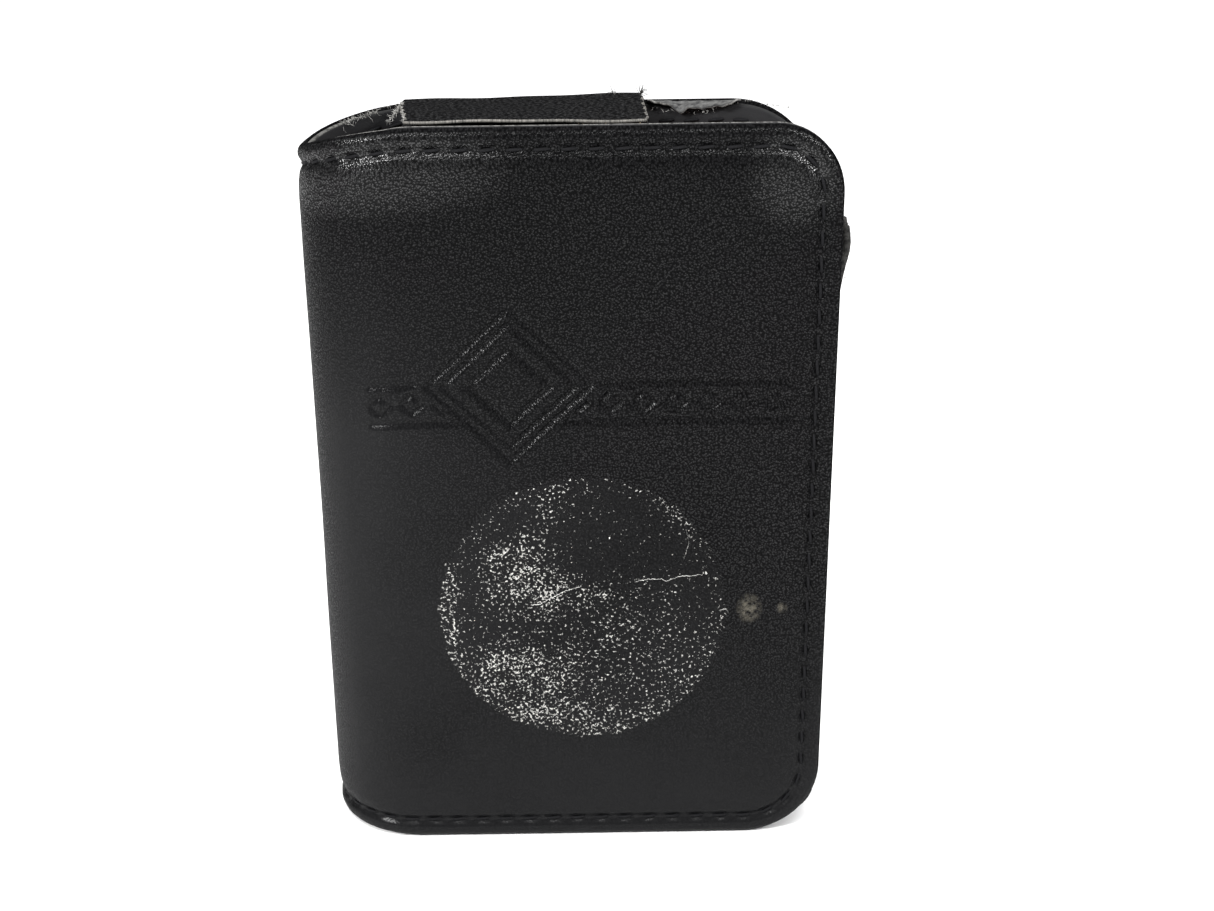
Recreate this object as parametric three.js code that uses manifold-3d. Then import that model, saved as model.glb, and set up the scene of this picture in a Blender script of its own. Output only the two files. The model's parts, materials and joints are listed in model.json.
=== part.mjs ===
// A transistor pocket radio in its standing leather carrying case, cover closed.
// Millimetres. +X is to the right, +Y goes from the front cover to the back one, +Z is up.
// The origin is under the middle of the whole object, on the surface that it stands on.
import * as THREE from 'three';
import { mergeVertices } from 'three/addons/utils/BufferGeometryUtils.js';
import Module from 'manifold-3d';

const wasm = await Module();
wasm.setup();

// ---- driving dimensions: the case ----
const WIDTH = 69.6;              // overall, with the flared side wall
const DEPTH = 25;                // over both covers
const COVER_H = 98.7;            // height of the covers
const FLARE = 1.5;               // how far the side wall's top stands past the covers
const LEATHER = 1.2;
const BOARD = 1.0;
const LINING = 0.5;
const LAYER_GAP = 0.05;          // between the glued layers of a cover
const SEAM_GAP = 0.3;            // between pieces that a fold parts
const CORNER_TOP = 8.5;          // cover corner radii
const BACK_CORNER_TOP = 12;
const CORNER_BOTTOM = 10.5;
const SPINE_DIP = 4.3;           // how far the spine's top drops at its middle
const SPINE_TURN = Math.PI / 4;  // the spine body reaches this far each way round from the middle

const LEFT = -WIDTH / 2;
const COVER_EDGE = WIDTH / 2 - FLARE;
const SPINE_R = DEPTH / 2;
const SPINE_X = LEFT + SPINE_R;  // axis of the half round
const BOARD_Y = SPINE_R - LEATHER - LAYER_GAP;
const LINING_Y = BOARD_Y - BOARD - LAYER_GAP;
const INNER_Y = LINING_Y - LINING;

// ---- driving dimensions: pouch, strap and catch ----
const POUCH_LEFT = -26.6;
const POUCH_RIGHT = 33.0;
const POUCH_TOP = 90;
const POUCH_WALL = 1.2;
const POUCH_BOTTOM = 1.0;
const WINDOW = { x0: -19.5, x1: 25.3, z0: 14, z1: 82, r: 4 };
const FRAME_Y = { front: -9.45, back: -8.45 };
const STRAP = { x0: -22.4, x1: 9.1, frontX0: -20.4, front: -8.8, back: 10.35, z0: 98.1, z1: 99.4 };
const CATCH = { x0: -19.5, x1: 6.2, back: -1.0, z0: 95.1, z1: 96.0 };
const TAPE = 0.8;                // hook tape and loop tape
const COVER_MAGNET = { x: 28.6, z: 48, r: 3.2, t: 0.7 };

// ---- driving dimensions: the radio ----
const RADIO = { x0: -25.2, x1: 31.4, z0: 2.8, z1: 87.2, front: -8.2, back: 9.2, split: 1.0, r: 5 };
const SHELL = 1.3;
const SPEAKER = { x: 3, z: 53, r: 17.4 };
const GRILLE = { r: 19, t: 0.5, pitch: 3.8, hole: 1.0 };
const TUNING = { x: 18, z: 79, r: 10 };
const VOLUME = { x: -15, z: 80.4, r: 8.6 };
const WHEEL_Y = { front: -6.4, back: -4.4 };
const DIAL = { x0: 10, x1: 26, z0: 70.2, z1: 76.8 };
const CIRCUIT = { x0: -23.5, x1: 29.7, z0: 35.6, z1: 85.2, front: 1.7, back: 2.8 };
const CELL = { r: 7.0, length: 49, lower: 12.0, upper: 26.4, y: 0.5, springRoom: 3.0, plateRoom: 1.9 };
const SCREWS = [[-3.6, 83], [-21.6, 40], [27.4, 40]];
const JACK_X = 4.2;

const RADIO_INNER = {
  x0: RADIO.x0 + SHELL, x1: RADIO.x1 - SHELL, z0: RADIO.z0 + SHELL, z1: RADIO.z1 - SHELL,
  front: RADIO.front + SHELL, back: RADIO.back - SHELL,
};

// ---- materials ----
function paint(color, roughness, metalness = 0) {
  return new THREE.MeshStandardMaterial({ color, roughness, metalness });
}
const looks = {
  leather: paint(0x232426, 0.45),
  lining: paint(0x2b2b2d, 0.75),
  board: paint(0x6b5a45, 0.9),
  tape: paint(0x1c1c1d, 0.95),
  magnet: paint(0x8d9095, 0.35, 1),
  plastic: paint(0x5a2422, 0.3),
  darkPlastic: paint(0x1d1b1a, 0.4),
  cream: paint(0xd9cfb4, 0.4),
  clear: paint(0xcfd6d2, 0.08),
  grille: paint(0xc2a869, 0.35, 1),
  steel: paint(0x9fa2a4, 0.4, 1),
  circuit: paint(0x8a6a2c, 0.6),
  ferrite: paint(0x2e2d2f, 0.7),
  copper: paint(0xa2602f, 0.4, 1),
  paper: paint(0x3b3632, 0.9),
  cell: paint(0x3f5a73, 0.4),
};

// ---- solids: joining and cutting ----
function solid(geometry) {
  const bare = geometry.clone();
  bare.deleteAttribute('normal');
  bare.deleteAttribute('uv');
  const merged = mergeVertices(bare, 1e-4);
  return new wasm.Manifold(new wasm.Mesh({
    numProp: 3,
    vertProperties: new Float32Array(merged.attributes.position.array),
    triVerts: new Uint32Array(merged.index.array),
  }));
}

function geometryOf(manifold) {
  const mesh = manifold.getMesh();
  const geometry = new THREE.BufferGeometry();
  geometry.setAttribute('position', new THREE.BufferAttribute(new Float32Array(mesh.vertProperties), 3));
  geometry.setIndex(new THREE.BufferAttribute(new Uint32Array(mesh.triVerts), 1));
  const flat = geometry.toNonIndexed();
  flat.computeVertexNormals();
  return flat;
}

function cut(geometry, ...tools) {
  return geometryOf(tools.reduce((body, tool) => body.subtract(solid(tool)), solid(geometry)));
}

function join(geometry, ...others) {
  return geometryOf(others.reduce((body, other) => body.add(solid(other)), solid(geometry)));
}

function common(geometry, other) {
  return geometryOf(solid(geometry).intersect(solid(other)));
}

// ---- simple shapes ----
function block(x0, x1, y0, y1, z0, z1) {
  const geometry = new THREE.BoxGeometry(x1 - x0, y1 - y0, z1 - z0);
  return geometry.translate((x0 + x1) / 2, (y0 + y1) / 2, (z0 + z1) / 2);
}

// A shape drawn in X and Z, as seen from the front, that reaches from y0 to y1.
function frontPlate(shape, y0, y1, curveSegments = 8) {
  const geometry = new THREE.ExtrudeGeometry(shape, { depth: y1 - y0, bevelEnabled: false, curveSegments });
  return geometry.rotateX(Math.PI / 2).translate(0, y1, 0);
}

// A shape drawn in X and Y, as seen from above, that reaches from z0 to z1.
function floorPlate(shape, z0, z1, curveSegments = 8) {
  const geometry = new THREE.ExtrudeGeometry(shape, { depth: z1 - z0, bevelEnabled: false, curveSegments });
  return geometry.translate(0, 0, z0);
}

function roundedRect(x0, x1, z0, z1, r) {
  const shape = new THREE.Shape();
  shape.moveTo(x0 + r, z0);
  shape.lineTo(x1 - r, z0);
  shape.absarc(x1 - r, z0 + r, r, -Math.PI / 2, 0, false);
  shape.lineTo(x1, z1 - r);
  shape.absarc(x1 - r, z1 - r, r, 0, Math.PI / 2, false);
  shape.lineTo(x0 + r, z1);
  shape.absarc(x0 + r, z1 - r, r, Math.PI / 2, Math.PI, false);
  shape.lineTo(x0, z0 + r);
  shape.absarc(x0 + r, z0 + r, r, Math.PI, 1.5 * Math.PI, false);
  return shape;
}

// A round bar along Y, from y0 to y1.
function bar(x, z, r, y0, y1, sides = 24) {
  return new THREE.CylinderGeometry(r, r, y1 - y0, sides).translate(x, (y0 + y1) / 2, z);
}

// A round bar along X, from x0 to x1.
function crossBar(x0, x1, y, z, r, sides = 24) {
  const geometry = new THREE.CylinderGeometry(r, r, x1 - x0, sides);
  return geometry.rotateZ(Math.PI / 2).translate((x0 + x1) / 2, y, z);
}

// A turned piece on a Y axis through x and z; its profile is a list of [radius, y].
function turned(x, z, profile, sides = 28) {
  const points = profile.map(([r, y]) => new THREE.Vector2(r, y));
  return new THREE.LatheGeometry(points, sides).translate(x, 0, z);
}

// ---- the leather wrap: one sheet round both covers and the spine, in three bodies ----
function coverOutline(inset, topCorner) {
  const right = COVER_EDGE - inset;
  const top = COVER_H - inset;
  const bottomR = CORNER_BOTTOM - inset;
  const topR = topCorner - inset;
  const shape = new THREE.Shape();
  shape.moveTo(LEFT - 1, inset);
  shape.lineTo(right - bottomR, inset);
  shape.absarc(right - bottomR, inset + bottomR, bottomR, -Math.PI / 2, 0, false);
  shape.lineTo(right, top - topR);
  shape.absarc(right - topR, top - topR, topR, 0, Math.PI / 2, false);
  shape.lineTo(SPINE_X + 2, top);
  shape.quadraticCurveTo(SPINE_X - SPINE_R / 2, top, LEFT - 1, top - SPINE_DIP);
  return shape;
}

// A layer lies at flatY over the boards, and at its own radius round the spine, where no board is.
function wrapSection(radius, flatY, thickness) {
  const far = WIDTH;
  const inner = radius - thickness;
  const flatInner = flatY - thickness;
  const stepX = SPINE_X + 0.8;
  const skip = radius > flatY ? 0.08 : 0;
  const shape = new THREE.Shape();
  shape.moveTo(far, -flatY);
  shape.lineTo(far, -flatInner);
  shape.lineTo(stepX, -flatInner);
  shape.absarc(SPINE_X, 0, inner, 1.5 * Math.PI - skip, Math.PI / 2 + skip, true);
  shape.lineTo(stepX, flatInner);
  shape.lineTo(far, flatInner);
  shape.lineTo(far, flatY);
  shape.lineTo(stepX, flatY);
  shape.absarc(SPINE_X, 0, radius, Math.PI / 2 + skip, 1.5 * Math.PI - skip, false);
  shape.lineTo(stepX, -flatY);
  return shape;
}

// The part of the plan between two angles about the spine's axis, moved off the cut lines.
function sector(from, to, moveX, moveY) {
  const reach = 2 * WIDTH;
  const steps = 4;
  const shape = new THREE.Shape();
  shape.moveTo(SPINE_X + moveX, moveY);
  for (let i = 0; i <= steps; i += 1) {
    const angle = from + ((to - from) * i) / steps;
    shape.lineTo(SPINE_X + moveX + reach * Math.cos(angle), moveY + reach * Math.sin(angle));
  }
  return floorPlate(shape, -10, COVER_H + 10);
}

function wrapLayer(radius, flatY, thickness, inset) {
  const section = floorPlate(wrapSection(radius, flatY, thickness), -1, COVER_H + 1, 24);
  const cutOut = (topCorner) => common(section, frontPlate(coverOutline(inset, topCorner), -DEPTH, DEPTH));
  const frontSheet = cutOut(CORNER_TOP);
  const backSheet = cutOut(BACK_CORNER_TOP);
  const off = SEAM_GAP / 2;
  const slide = off * Math.SQRT1_2;
  const clear = 0.02 * Math.PI;
  return {
    front: common(frontSheet, sector(Math.PI + SPINE_TURN, 2 * Math.PI - clear, slide, -slide)),
    spine: common(frontSheet, sector(Math.PI - SPINE_TURN, Math.PI + SPINE_TURN, -off * Math.SQRT2, 0)),
    back: common(backSheet, sector(clear, Math.PI - SPINE_TURN, slide, slide)),
  };
}

// ---- the scene graph: one group for each thing that moves ----
const radio = new THREE.Group();
const still = new THREE.Group();
const spine = new THREE.Group();
const cover = new THREE.Group();
const strap = new THREE.Group();
const tuning = new THREE.Group();
const volume = new THREE.Group();

function add(parent, name, geometry, material) {
  const mesh = new THREE.Mesh(geometry, material);
  mesh.name = name;
  parent.add(mesh);
  return mesh;
}

// ---- covers and spine ----
const leather = wrapLayer(SPINE_R, SPINE_R, LEATHER, 0);
const LINING_INSET = 0.9;
const lining = wrapLayer(BOARD_Y, LINING_Y, LINING, LINING_INSET);
add(cover, 'front_cover_leather', leather.front, looks.leather);
add(spine, 'spine_leather', leather.spine, looks.leather);
add(still, 'back_cover_leather', leather.back, looks.leather);
add(cover, 'front_cover_lining', lining.front, looks.lining);
add(spine, 'spine_lining', lining.spine, looks.lining);
add(still, 'back_cover_lining', lining.back, looks.lining);

const BOARD_INSET = 1.6;
const BOARD_LEFT = SPINE_X + 1;
const BOARD_RIGHT = COVER_EDGE - BOARD_INSET;
const BOARD_R = 7;
function boardOutline(top) {
  return roundedRect(BOARD_LEFT, BOARD_RIGHT, BOARD_INSET, top, BOARD_R);
}
add(cover, 'front_cover_board', cut(
  frontPlate(boardOutline(COVER_H - BOARD_INSET), -BOARD_Y, -BOARD_Y + BOARD),
  bar(COVER_MAGNET.x, COVER_MAGNET.z, COVER_MAGNET.r + 0.3, -DEPTH, 0),
), looks.board);
add(cover, 'cover_magnet', bar(
  COVER_MAGNET.x, COVER_MAGNET.z, COVER_MAGNET.r, -BOARD_Y + 0.15, -BOARD_Y + 0.15 + COVER_MAGNET.t,
), looks.magnet);
const STRAP_ROOT_Z = 89;
add(still, 'back_cover_board', frontPlate(
  boardOutline(STRAP_ROOT_Z - 0.4), BOARD_Y - BOARD, BOARD_Y,
), looks.board);

// ---- pouch that holds the radio against the back cover ----
// Seen from the front the wall is a U; its right arm flares out past the cover's edge.
const POUCH_CORNER = 5;
const FLARE_FOOT = 62;
const FLARE_TOP = 82;
const ARM_TOP = 85.6;

// One face of the wall, from the left arm's top down and round to the right arm's top or back.
function tracePouch(shape, inset, back) {
  const left = POUCH_LEFT + inset;
  const right = POUCH_RIGHT - inset;
  const flared = WIDTH / 2 - inset;
  const low = POUCH_BOTTOM + inset;
  const r = POUCH_CORNER - inset;
  const bend = [right + 0.3, FLARE_FOOT + 12];
  if (back) {
    shape.lineTo(flared, ARM_TOP);
    shape.lineTo(flared, FLARE_TOP);
    shape.quadraticCurveTo(...bend, right, FLARE_FOOT);
    shape.lineTo(right, low + r);
    shape.absarc(right - r, low + r, r, 2 * Math.PI, 1.5 * Math.PI, true);
    shape.lineTo(left + r, low);
    shape.absarc(left + r, low + r, r, 1.5 * Math.PI, Math.PI, true);
    shape.lineTo(left, POUCH_TOP);
  } else {
    shape.moveTo(left, POUCH_TOP);
    shape.lineTo(left, low + r);
    shape.absarc(left + r, low + r, r, Math.PI, 1.5 * Math.PI, false);
    shape.lineTo(right - r, low);
    shape.absarc(right - r, low + r, r, 1.5 * Math.PI, 2 * Math.PI, false);
    shape.lineTo(right, FLARE_FOOT);
    shape.quadraticCurveTo(...bend, flared, FLARE_TOP);
    shape.lineTo(flared, ARM_TOP);
  }
}
const pouchWall = new THREE.Shape();
tracePouch(pouchWall, 0, false);
tracePouch(pouchWall, POUCH_WALL, true);
add(still, 'pouch_side_wall', frontPlate(pouchWall, FRAME_Y.back + 0.1, INNER_Y - 0.15), looks.leather);

const frameShape = roundedRect(POUCH_LEFT, POUCH_RIGHT, POUCH_BOTTOM, POUCH_TOP, POUCH_CORNER);
frameShape.holes.push(roundedRect(WINDOW.x0, WINDOW.x1, WINDOW.z0, WINDOW.z1, WINDOW.r));
const FRAME_MAGNET_X = (WINDOW.x1 + POUCH_RIGHT) / 2;
add(still, 'pouch_front_frame', cut(
  frontPlate(frameShape, FRAME_Y.front, FRAME_Y.back),
  bar(FRAME_MAGNET_X, COVER_MAGNET.z, COVER_MAGNET.r + 0.2, FRAME_Y.front + 0.3, FRAME_Y.back + 1),
), looks.leather);
add(still, 'frame_magnet', bar(
  FRAME_MAGNET_X, COVER_MAGNET.z, COVER_MAGNET.r - 0.1, FRAME_Y.front + 0.4, FRAME_Y.back - 0.05,
), looks.magnet);

// ---- strap over the top, and the catch that it closes on ----
add(still, 'strap_root', block(
  BOARD_LEFT, STRAP.x1, STRAP.back + 0.2, BOARD_Y - 0.05, STRAP_ROOT_Z, STRAP.z1 - 0.1,
), looks.leather);
const strapPlan = new THREE.Shape();
strapPlan.moveTo(STRAP.frontX0, STRAP.front);
strapPlan.lineTo(STRAP.x1, STRAP.front);
strapPlan.lineTo(STRAP.x1, STRAP.back);
strapPlan.lineTo(STRAP.x0, STRAP.back);
add(strap, 'top_strap', floorPlate(strapPlan, STRAP.z0, STRAP.z1), looks.leather);
const TAPE_FRONT = STRAP.front + 0.3;
const TAPE_BACK = CATCH.back - 0.2;
const HOOK_TOP = STRAP.z0 - 0.05;
add(strap, 'strap_hook_tape', block(
  CATCH.x0, CATCH.x1, TAPE_FRONT, TAPE_BACK, HOOK_TOP - TAPE, HOOK_TOP,
), looks.tape);

const catchProfile = new THREE.Shape();
catchProfile.moveTo(FRAME_Y.front + 0.05, POUCH_TOP + 0.2);
catchProfile.lineTo(FRAME_Y.back - 0.05, POUCH_TOP + 0.2);
catchProfile.lineTo(FRAME_Y.back - 0.05, CATCH.z0);
catchProfile.lineTo(CATCH.back, CATCH.z0);
catchProfile.lineTo(CATCH.back, CATCH.z1);
catchProfile.lineTo(FRAME_Y.front + 0.05, CATCH.z1);
// The profile is drawn in Y and Z, and stands along X.
const catchTab = floorPlate(catchProfile, 0, CATCH.x1 - CATCH.x0);
catchTab.applyMatrix4(new THREE.Matrix4().set(
  0, 0, 1, CATCH.x0,
  1, 0, 0, 0,
  0, 1, 0, 0,
  0, 0, 0, 1,
));
add(still, 'catch_tab', catchTab, looks.leather);
add(still, 'catch_loop_tape', block(
  CATCH.x0, CATCH.x1, TAPE_FRONT, TAPE_BACK, CATCH.z1 + 0.05, CATCH.z1 + 0.05 + TAPE,
), looks.tape);

// ---- radio: shells ----
function radioTray(y0, y1) {
  const outline = roundedRect(RADIO.x0, RADIO.x1, RADIO.z0, RADIO.z1, RADIO.r);
  const { x0, x1, z0, z1 } = RADIO_INNER;
  const hollow = roundedRect(x0, x1, z0, z1, RADIO.r - SHELL);
  const inner = y0 < 0 ? [RADIO_INNER.front, y1 + 1] : [y0 - 1, RADIO_INNER.back];
  return cut(frontPlate(outline, y0, y1), frontPlate(hollow, ...inner));
}

const BOSS_R = 2.2;
const SCREW_R = 0.8;
const SCREW_HEAD_R = 1.8;
const SCREW_HEAD_Y = RADIO.back - 0.7;
const BOSS_SINK = 0.2;
const bosses = SCREWS.map(([x, z]) => (
  bar(x, z, BOSS_R, RADIO_INNER.front - BOSS_SINK, RADIO_INNER.back - BOSS_SINK, 16)
));
const bossBores = SCREWS.map(([x, z]) => bar(x, z, SCREW_R + 0.2, -4, RADIO.back, 12));
const wheelSlots = [TUNING, VOLUME].map((wheel) => {
  const chord = Math.sqrt(wheel.r ** 2 - (RADIO_INNER.z1 - wheel.z) ** 2) + 0.7;
  const front = WHEEL_Y.front - 0.3;
  const back = WHEEL_Y.back + 0.3;
  return block(wheel.x - chord, wheel.x + chord, front, back, RADIO_INNER.z1 - 1, RADIO.z1 + 1);
});
const DIAL_FIT = 0.2;
const jackHole = new THREE.CylinderGeometry(2.8, 2.8, 6, 20).rotateX(Math.PI / 2)
  .translate(JACK_X, -3.7, RADIO_INNER.z1 + 1);
add(radio, 'radio_front_shell', cut(
  join(radioTray(RADIO.front, RADIO.split), ...bosses),
  ...bossBores,
  ...wheelSlots,
  jackHole,
  bar(SPEAKER.x, SPEAKER.z, GRILLE.r + 0.3, RADIO.front - 1, RADIO.front + 0.6, 40),
  bar(SPEAKER.x, SPEAKER.z, SPEAKER.r - 2, RADIO.front - 1, RADIO.front + 3, 40),
  block(DIAL.x0 - DIAL_FIT, DIAL.x1 + DIAL_FIT, RADIO.front - 1, RADIO.front + 3,
    DIAL.z0 - DIAL_FIT, DIAL.z1 + DIAL_FIT),
), looks.plastic);

const DOOR = { x0: -19, x1: 24.8, z0: 8, z1: 31 };
const DOOR_FIT = 0.25;
add(radio, 'radio_back_shell', cut(
  radioTray(RADIO.split + 0.1, RADIO.back),
  block(DOOR.x0 - DOOR_FIT, DOOR.x1 + DOOR_FIT, RADIO_INNER.back - 1, RADIO.back + 1,
    DOOR.z0 - DOOR_FIT, DOOR.z1 + DOOR_FIT),
  ...SCREWS.map(([x, z]) => bar(x, z, SCREW_R + 0.2, RADIO.split, RADIO.back + 1, 12)),
  ...SCREWS.map(([x, z]) => bar(x, z, SCREW_HEAD_R + 0.2, SCREW_HEAD_Y - 0.1, RADIO.back + 1, 16)),
), looks.plastic);
add(radio, 'battery_door', frontPlate(
  roundedRect(DOOR.x0, DOOR.x1, DOOR.z0, DOOR.z1, 1), RADIO_INNER.back + 0.1, RADIO.back, 3,
), looks.plastic);
SCREWS.forEach(([x, z], i) => {
  const profile = [
    [0, 0], [SCREW_R, 0], [SCREW_R, SCREW_HEAD_Y], [SCREW_HEAD_R, SCREW_HEAD_Y],
    [SCREW_HEAD_R, RADIO.back - 0.2], [0, RADIO.back - 0.2],
  ];
  add(radio, `case_screw_${i + 1}`, turned(x, z, profile, 12), looks.steel);
});

// ---- radio: front fittings ----
function grilleShape() {
  const shape = new THREE.Shape();
  shape.absarc(SPEAKER.x, SPEAKER.z, GRILLE.r, 0, 2 * Math.PI, false);
  const rows = Math.floor(GRILLE.r / GRILLE.pitch);
  const rowStep = GRILLE.pitch * Math.sqrt(0.75);
  for (let row = -rows; row <= rows; row += 1) {
    for (let column = -rows; column <= rows; column += 1) {
      const x = (column + (row % 2) / 2) * GRILLE.pitch;
      const z = row * rowStep;
      if (Math.hypot(x, z) < GRILLE.r - 3.2) {
        const hole = new THREE.Path();
        hole.absarc(SPEAKER.x + x, SPEAKER.z + z, GRILLE.hole, 0, 2 * Math.PI, true);
        shape.holes.push(hole);
      }
    }
  }
  return shape;
}
add(radio, 'speaker_grille', frontPlate(
  grilleShape(), RADIO.front, RADIO.front + GRILLE.t, 4,
), looks.grille);
add(radio, 'dial_window', block(
  DIAL.x0, DIAL.x1, RADIO.front, RADIO.front + 1.1, DIAL.z0, DIAL.z1,
), looks.clear);

// ---- radio: speaker ----
add(radio, 'speaker_basket', turned(SPEAKER.x, SPEAKER.z, [
  [0, -0.6], [6, -0.6], [9, -2.2], [15.8, -5.9], [15.8, -6.7], [SPEAKER.r, -6.7],
  [SPEAKER.r, -5.6], [10, -1.4], [8.2, -1.4], [8.2, 1.2], [0, 1.2],
]), looks.steel);
add(radio, 'speaker_cone', turned(SPEAKER.x, SPEAKER.z, [
  [0, -4.6], [2.6, -4.2], [4.4, -3.2], [14.6, -6.2], [15.4, -6.6],
  [15.4, -6.3], [14.6, -5.9], [4.8, -2.7], [0, -2.7],
]), looks.paper);

// ---- radio: thumbwheels and what they turn ----
const WHEEL_BORE = 2.2;
const SHAFT_R = 1.8;
const SHAFT_END = -2.2;
const TUNER_FRONT = WHEEL_Y.back + 0.6;
const TUNER_BACK = CIRCUIT.front - 0.2;
const TUNER_HALF = 6.6;
function thumbwheel(wheel, ridges) {
  const shape = new THREE.Shape();
  for (let i = 0; i < 2 * ridges; i += 1) {
    const r = i % 2 ? wheel.r - 0.35 : wheel.r;
    const angle = (Math.PI * i) / ridges;
    const point = [wheel.x + r * Math.cos(angle), wheel.z + r * Math.sin(angle)];
    if (i === 0) shape.moveTo(...point);
    else shape.lineTo(...point);
  }
  const bore = new THREE.Path();
  bore.absarc(wheel.x, wheel.z, WHEEL_BORE, 0, 2 * Math.PI, true);
  shape.holes.push(bore);
  return frontPlate(shape, WHEEL_Y.front, WHEEL_Y.back, 8);
}
function wheelShaft(wheel) {
  return bar(wheel.x, wheel.z, SHAFT_R, WHEEL_Y.front + 0.1, SHAFT_END, 16);
}
function shaftBore(wheel) {
  return bar(wheel.x, wheel.z, WHEEL_BORE, WHEEL_Y.front, SHAFT_END + 0.4, 16);
}
add(tuning, 'tuning_wheel', thumbwheel(TUNING, 44), looks.cream);
add(tuning, 'tuning_shaft', wheelShaft(TUNING), looks.steel);
add(volume, 'volume_wheel', thumbwheel(VOLUME, 38), looks.cream);
add(volume, 'volume_shaft', wheelShaft(VOLUME), looks.steel);
add(radio, 'tuning_capacitor', cut(
  block(TUNING.x - TUNER_HALF, TUNING.x + TUNER_HALF, TUNER_FRONT, TUNER_BACK,
    TUNING.z - TUNER_HALF, TUNING.z + TUNER_HALF),
  shaftBore(TUNING),
), looks.clear);
add(radio, 'volume_potentiometer', cut(
  bar(VOLUME.x, VOLUME.z, 5.2, TUNER_FRONT, TUNER_BACK),
  shaftBore(VOLUME),
), looks.steel);
add(radio, 'earphone_jack', join(
  block(JACK_X - 3.2, JACK_X + 3.2, -6.6, -0.8, 77, RADIO_INNER.z1 - 0.15),
  new THREE.CylinderGeometry(2.4, 2.4, 2, 20).rotateX(Math.PI / 2).translate(JACK_X, -3.7, RADIO_INNER.z1),
), looks.darkPlastic);

// ---- radio: circuit board and the parts on its back ----
add(radio, 'circuit_board', cut(
  frontPlate(
    roundedRect(CIRCUIT.x0, CIRCUIT.x1, CIRCUIT.z0, CIRCUIT.z1, 3), CIRCUIT.front, CIRCUIT.back, 3,
  ),
  ...SCREWS.map(([x, z]) => bar(x, z, BOSS_R + 0.3, 0, 5, 16)),
), looks.circuit);

const ON_BOARD = CIRCUIT.back + 0.1;
const ROD = { x0: -21.5, x1: 25, z: 76.4, y: 5.4, thick: 2.8, high: 7.4 };
const COIL = { x0: -19, x1: -8, wall: 0.6, air: 0.15 };
function rodSection(grow) {
  const halfThick = ROD.thick / 2 + grow;
  const halfHigh = ROD.high / 2 + grow;
  return [ROD.y - halfThick, ROD.y + halfThick, ROD.z - halfHigh, ROD.z + halfHigh];
}
add(radio, 'ferrite_rod', block(ROD.x0, ROD.x1, ...rodSection(0)), looks.ferrite);
add(radio, 'antenna_coil', cut(
  block(COIL.x0, COIL.x1, ...rodSection(COIL.air + COIL.wall)),
  block(COIL.x0 - 1, COIL.x1 + 1, ...rodSection(COIL.air)),
), looks.copper);

const CAN = 6.6;
[-9, 1, 11].forEach((x, i) => {
  add(radio, `intermediate_can_${i + 1}`, block(
    x, x + CAN, ON_BOARD, ON_BOARD + 4.4, 62, 62 + CAN,
  ), looks.steel);
});
add(radio, 'driver_transformer', block(-19, -9.5, ON_BOARD, ON_BOARD + 4.6, 46, 55), looks.steel);
add(radio, 'output_transformer', block(13, 24, ON_BOARD, ON_BOARD + 4.6, 45, 55), looks.steel);
[-20, -14, 21].forEach((x, i) => {
  add(radio, `transistor_${i + 1}`, bar(x + 2, 64, 2.1, ON_BOARD, ON_BOARD + 3.6, 12), looks.steel);
});
[41, 50].forEach((z, i) => {
  add(radio, `electrolytic_${i + 1}`, crossBar(-4, 8, ON_BOARD + 2.3, z, 2.2, 16), looks.darkPlastic);
});

// ---- radio: cells and their contacts ----
const NUB = { r: 2.6, length: 1 };
const CONTACT_T = 0.4;
const LOWER_X0 = RADIO_INNER.x0 + CELL.springRoom;
const UPPER_X0 = RADIO_INNER.x0 + CELL.plateRoom;
const LOWER_X1 = LOWER_X0 + CELL.length;
const UPPER_X1 = UPPER_X0 + CELL.length;
const NUB_SINK = 1;
function cellBody(x0, z, nub) {
  const can = crossBar(x0, x0 + CELL.length, CELL.y, z, CELL.r, 28);
  return join(can, crossBar(...nub, CELL.y, z, NUB.r, 16));
}
add(radio, 'cell_lower', cellBody(
  LOWER_X0, CELL.lower, [LOWER_X1 - NUB_SINK, LOWER_X1 + NUB.length],
), looks.cell);
add(radio, 'cell_upper', cellBody(
  UPPER_X0, CELL.upper, [UPPER_X0 - NUB.length, UPPER_X0 + NUB_SINK],
), looks.cell);

class Coil extends THREE.Curve {
  constructor(x0, x1, z, r, turns) {
    super();
    Object.assign(this, { x0, x1, z, r, turns });
  }

  getPoint(t) {
    const angle = 2 * Math.PI * this.turns * t;
    const x = this.x0 + (this.x1 - this.x0) * t;
    return new THREE.Vector3(x, CELL.y + this.r * Math.cos(angle), this.z + this.r * Math.sin(angle));
  }
}
function contactSpring(x0, x1, z) {
  const wire = new THREE.Shape();
  wire.absarc(0, 0, 0.25, 0, 2 * Math.PI, false);
  return new THREE.ExtrudeGeometry(wire, {
    extrudePath: new Coil(x0, x1, z, 2.6, 2), steps: 30, curveSegments: 3, bevelEnabled: false,
  });
}
function contactPlate(x0, z) {
  return block(x0, x0 + CONTACT_T, CELL.y - 4, CELL.y + 4, z - 4, z + 4);
}
const PLATE_GAP = 0.1;
const SPRING_GAP = 0.4;
add(radio, 'contact_plate_lower', contactPlate(
  LOWER_X1 + NUB.length + PLATE_GAP, CELL.lower,
), looks.steel);
add(radio, 'contact_plate_upper', contactPlate(
  UPPER_X0 - NUB.length - PLATE_GAP - CONTACT_T, CELL.upper,
), looks.steel);
add(radio, 'contact_spring_lower', contactSpring(
  RADIO_INNER.x0 + SPRING_GAP, LOWER_X0 - SPRING_GAP, CELL.lower,
), looks.steel);
add(radio, 'contact_spring_upper', contactSpring(
  UPPER_X1 + SPRING_GAP, RADIO_INNER.x1 - SPRING_GAP, CELL.upper,
), looks.steel);

const object = new THREE.Group();
object.add(still, spine, cover, strap, radio, tuning, volume);
export default object;
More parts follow.
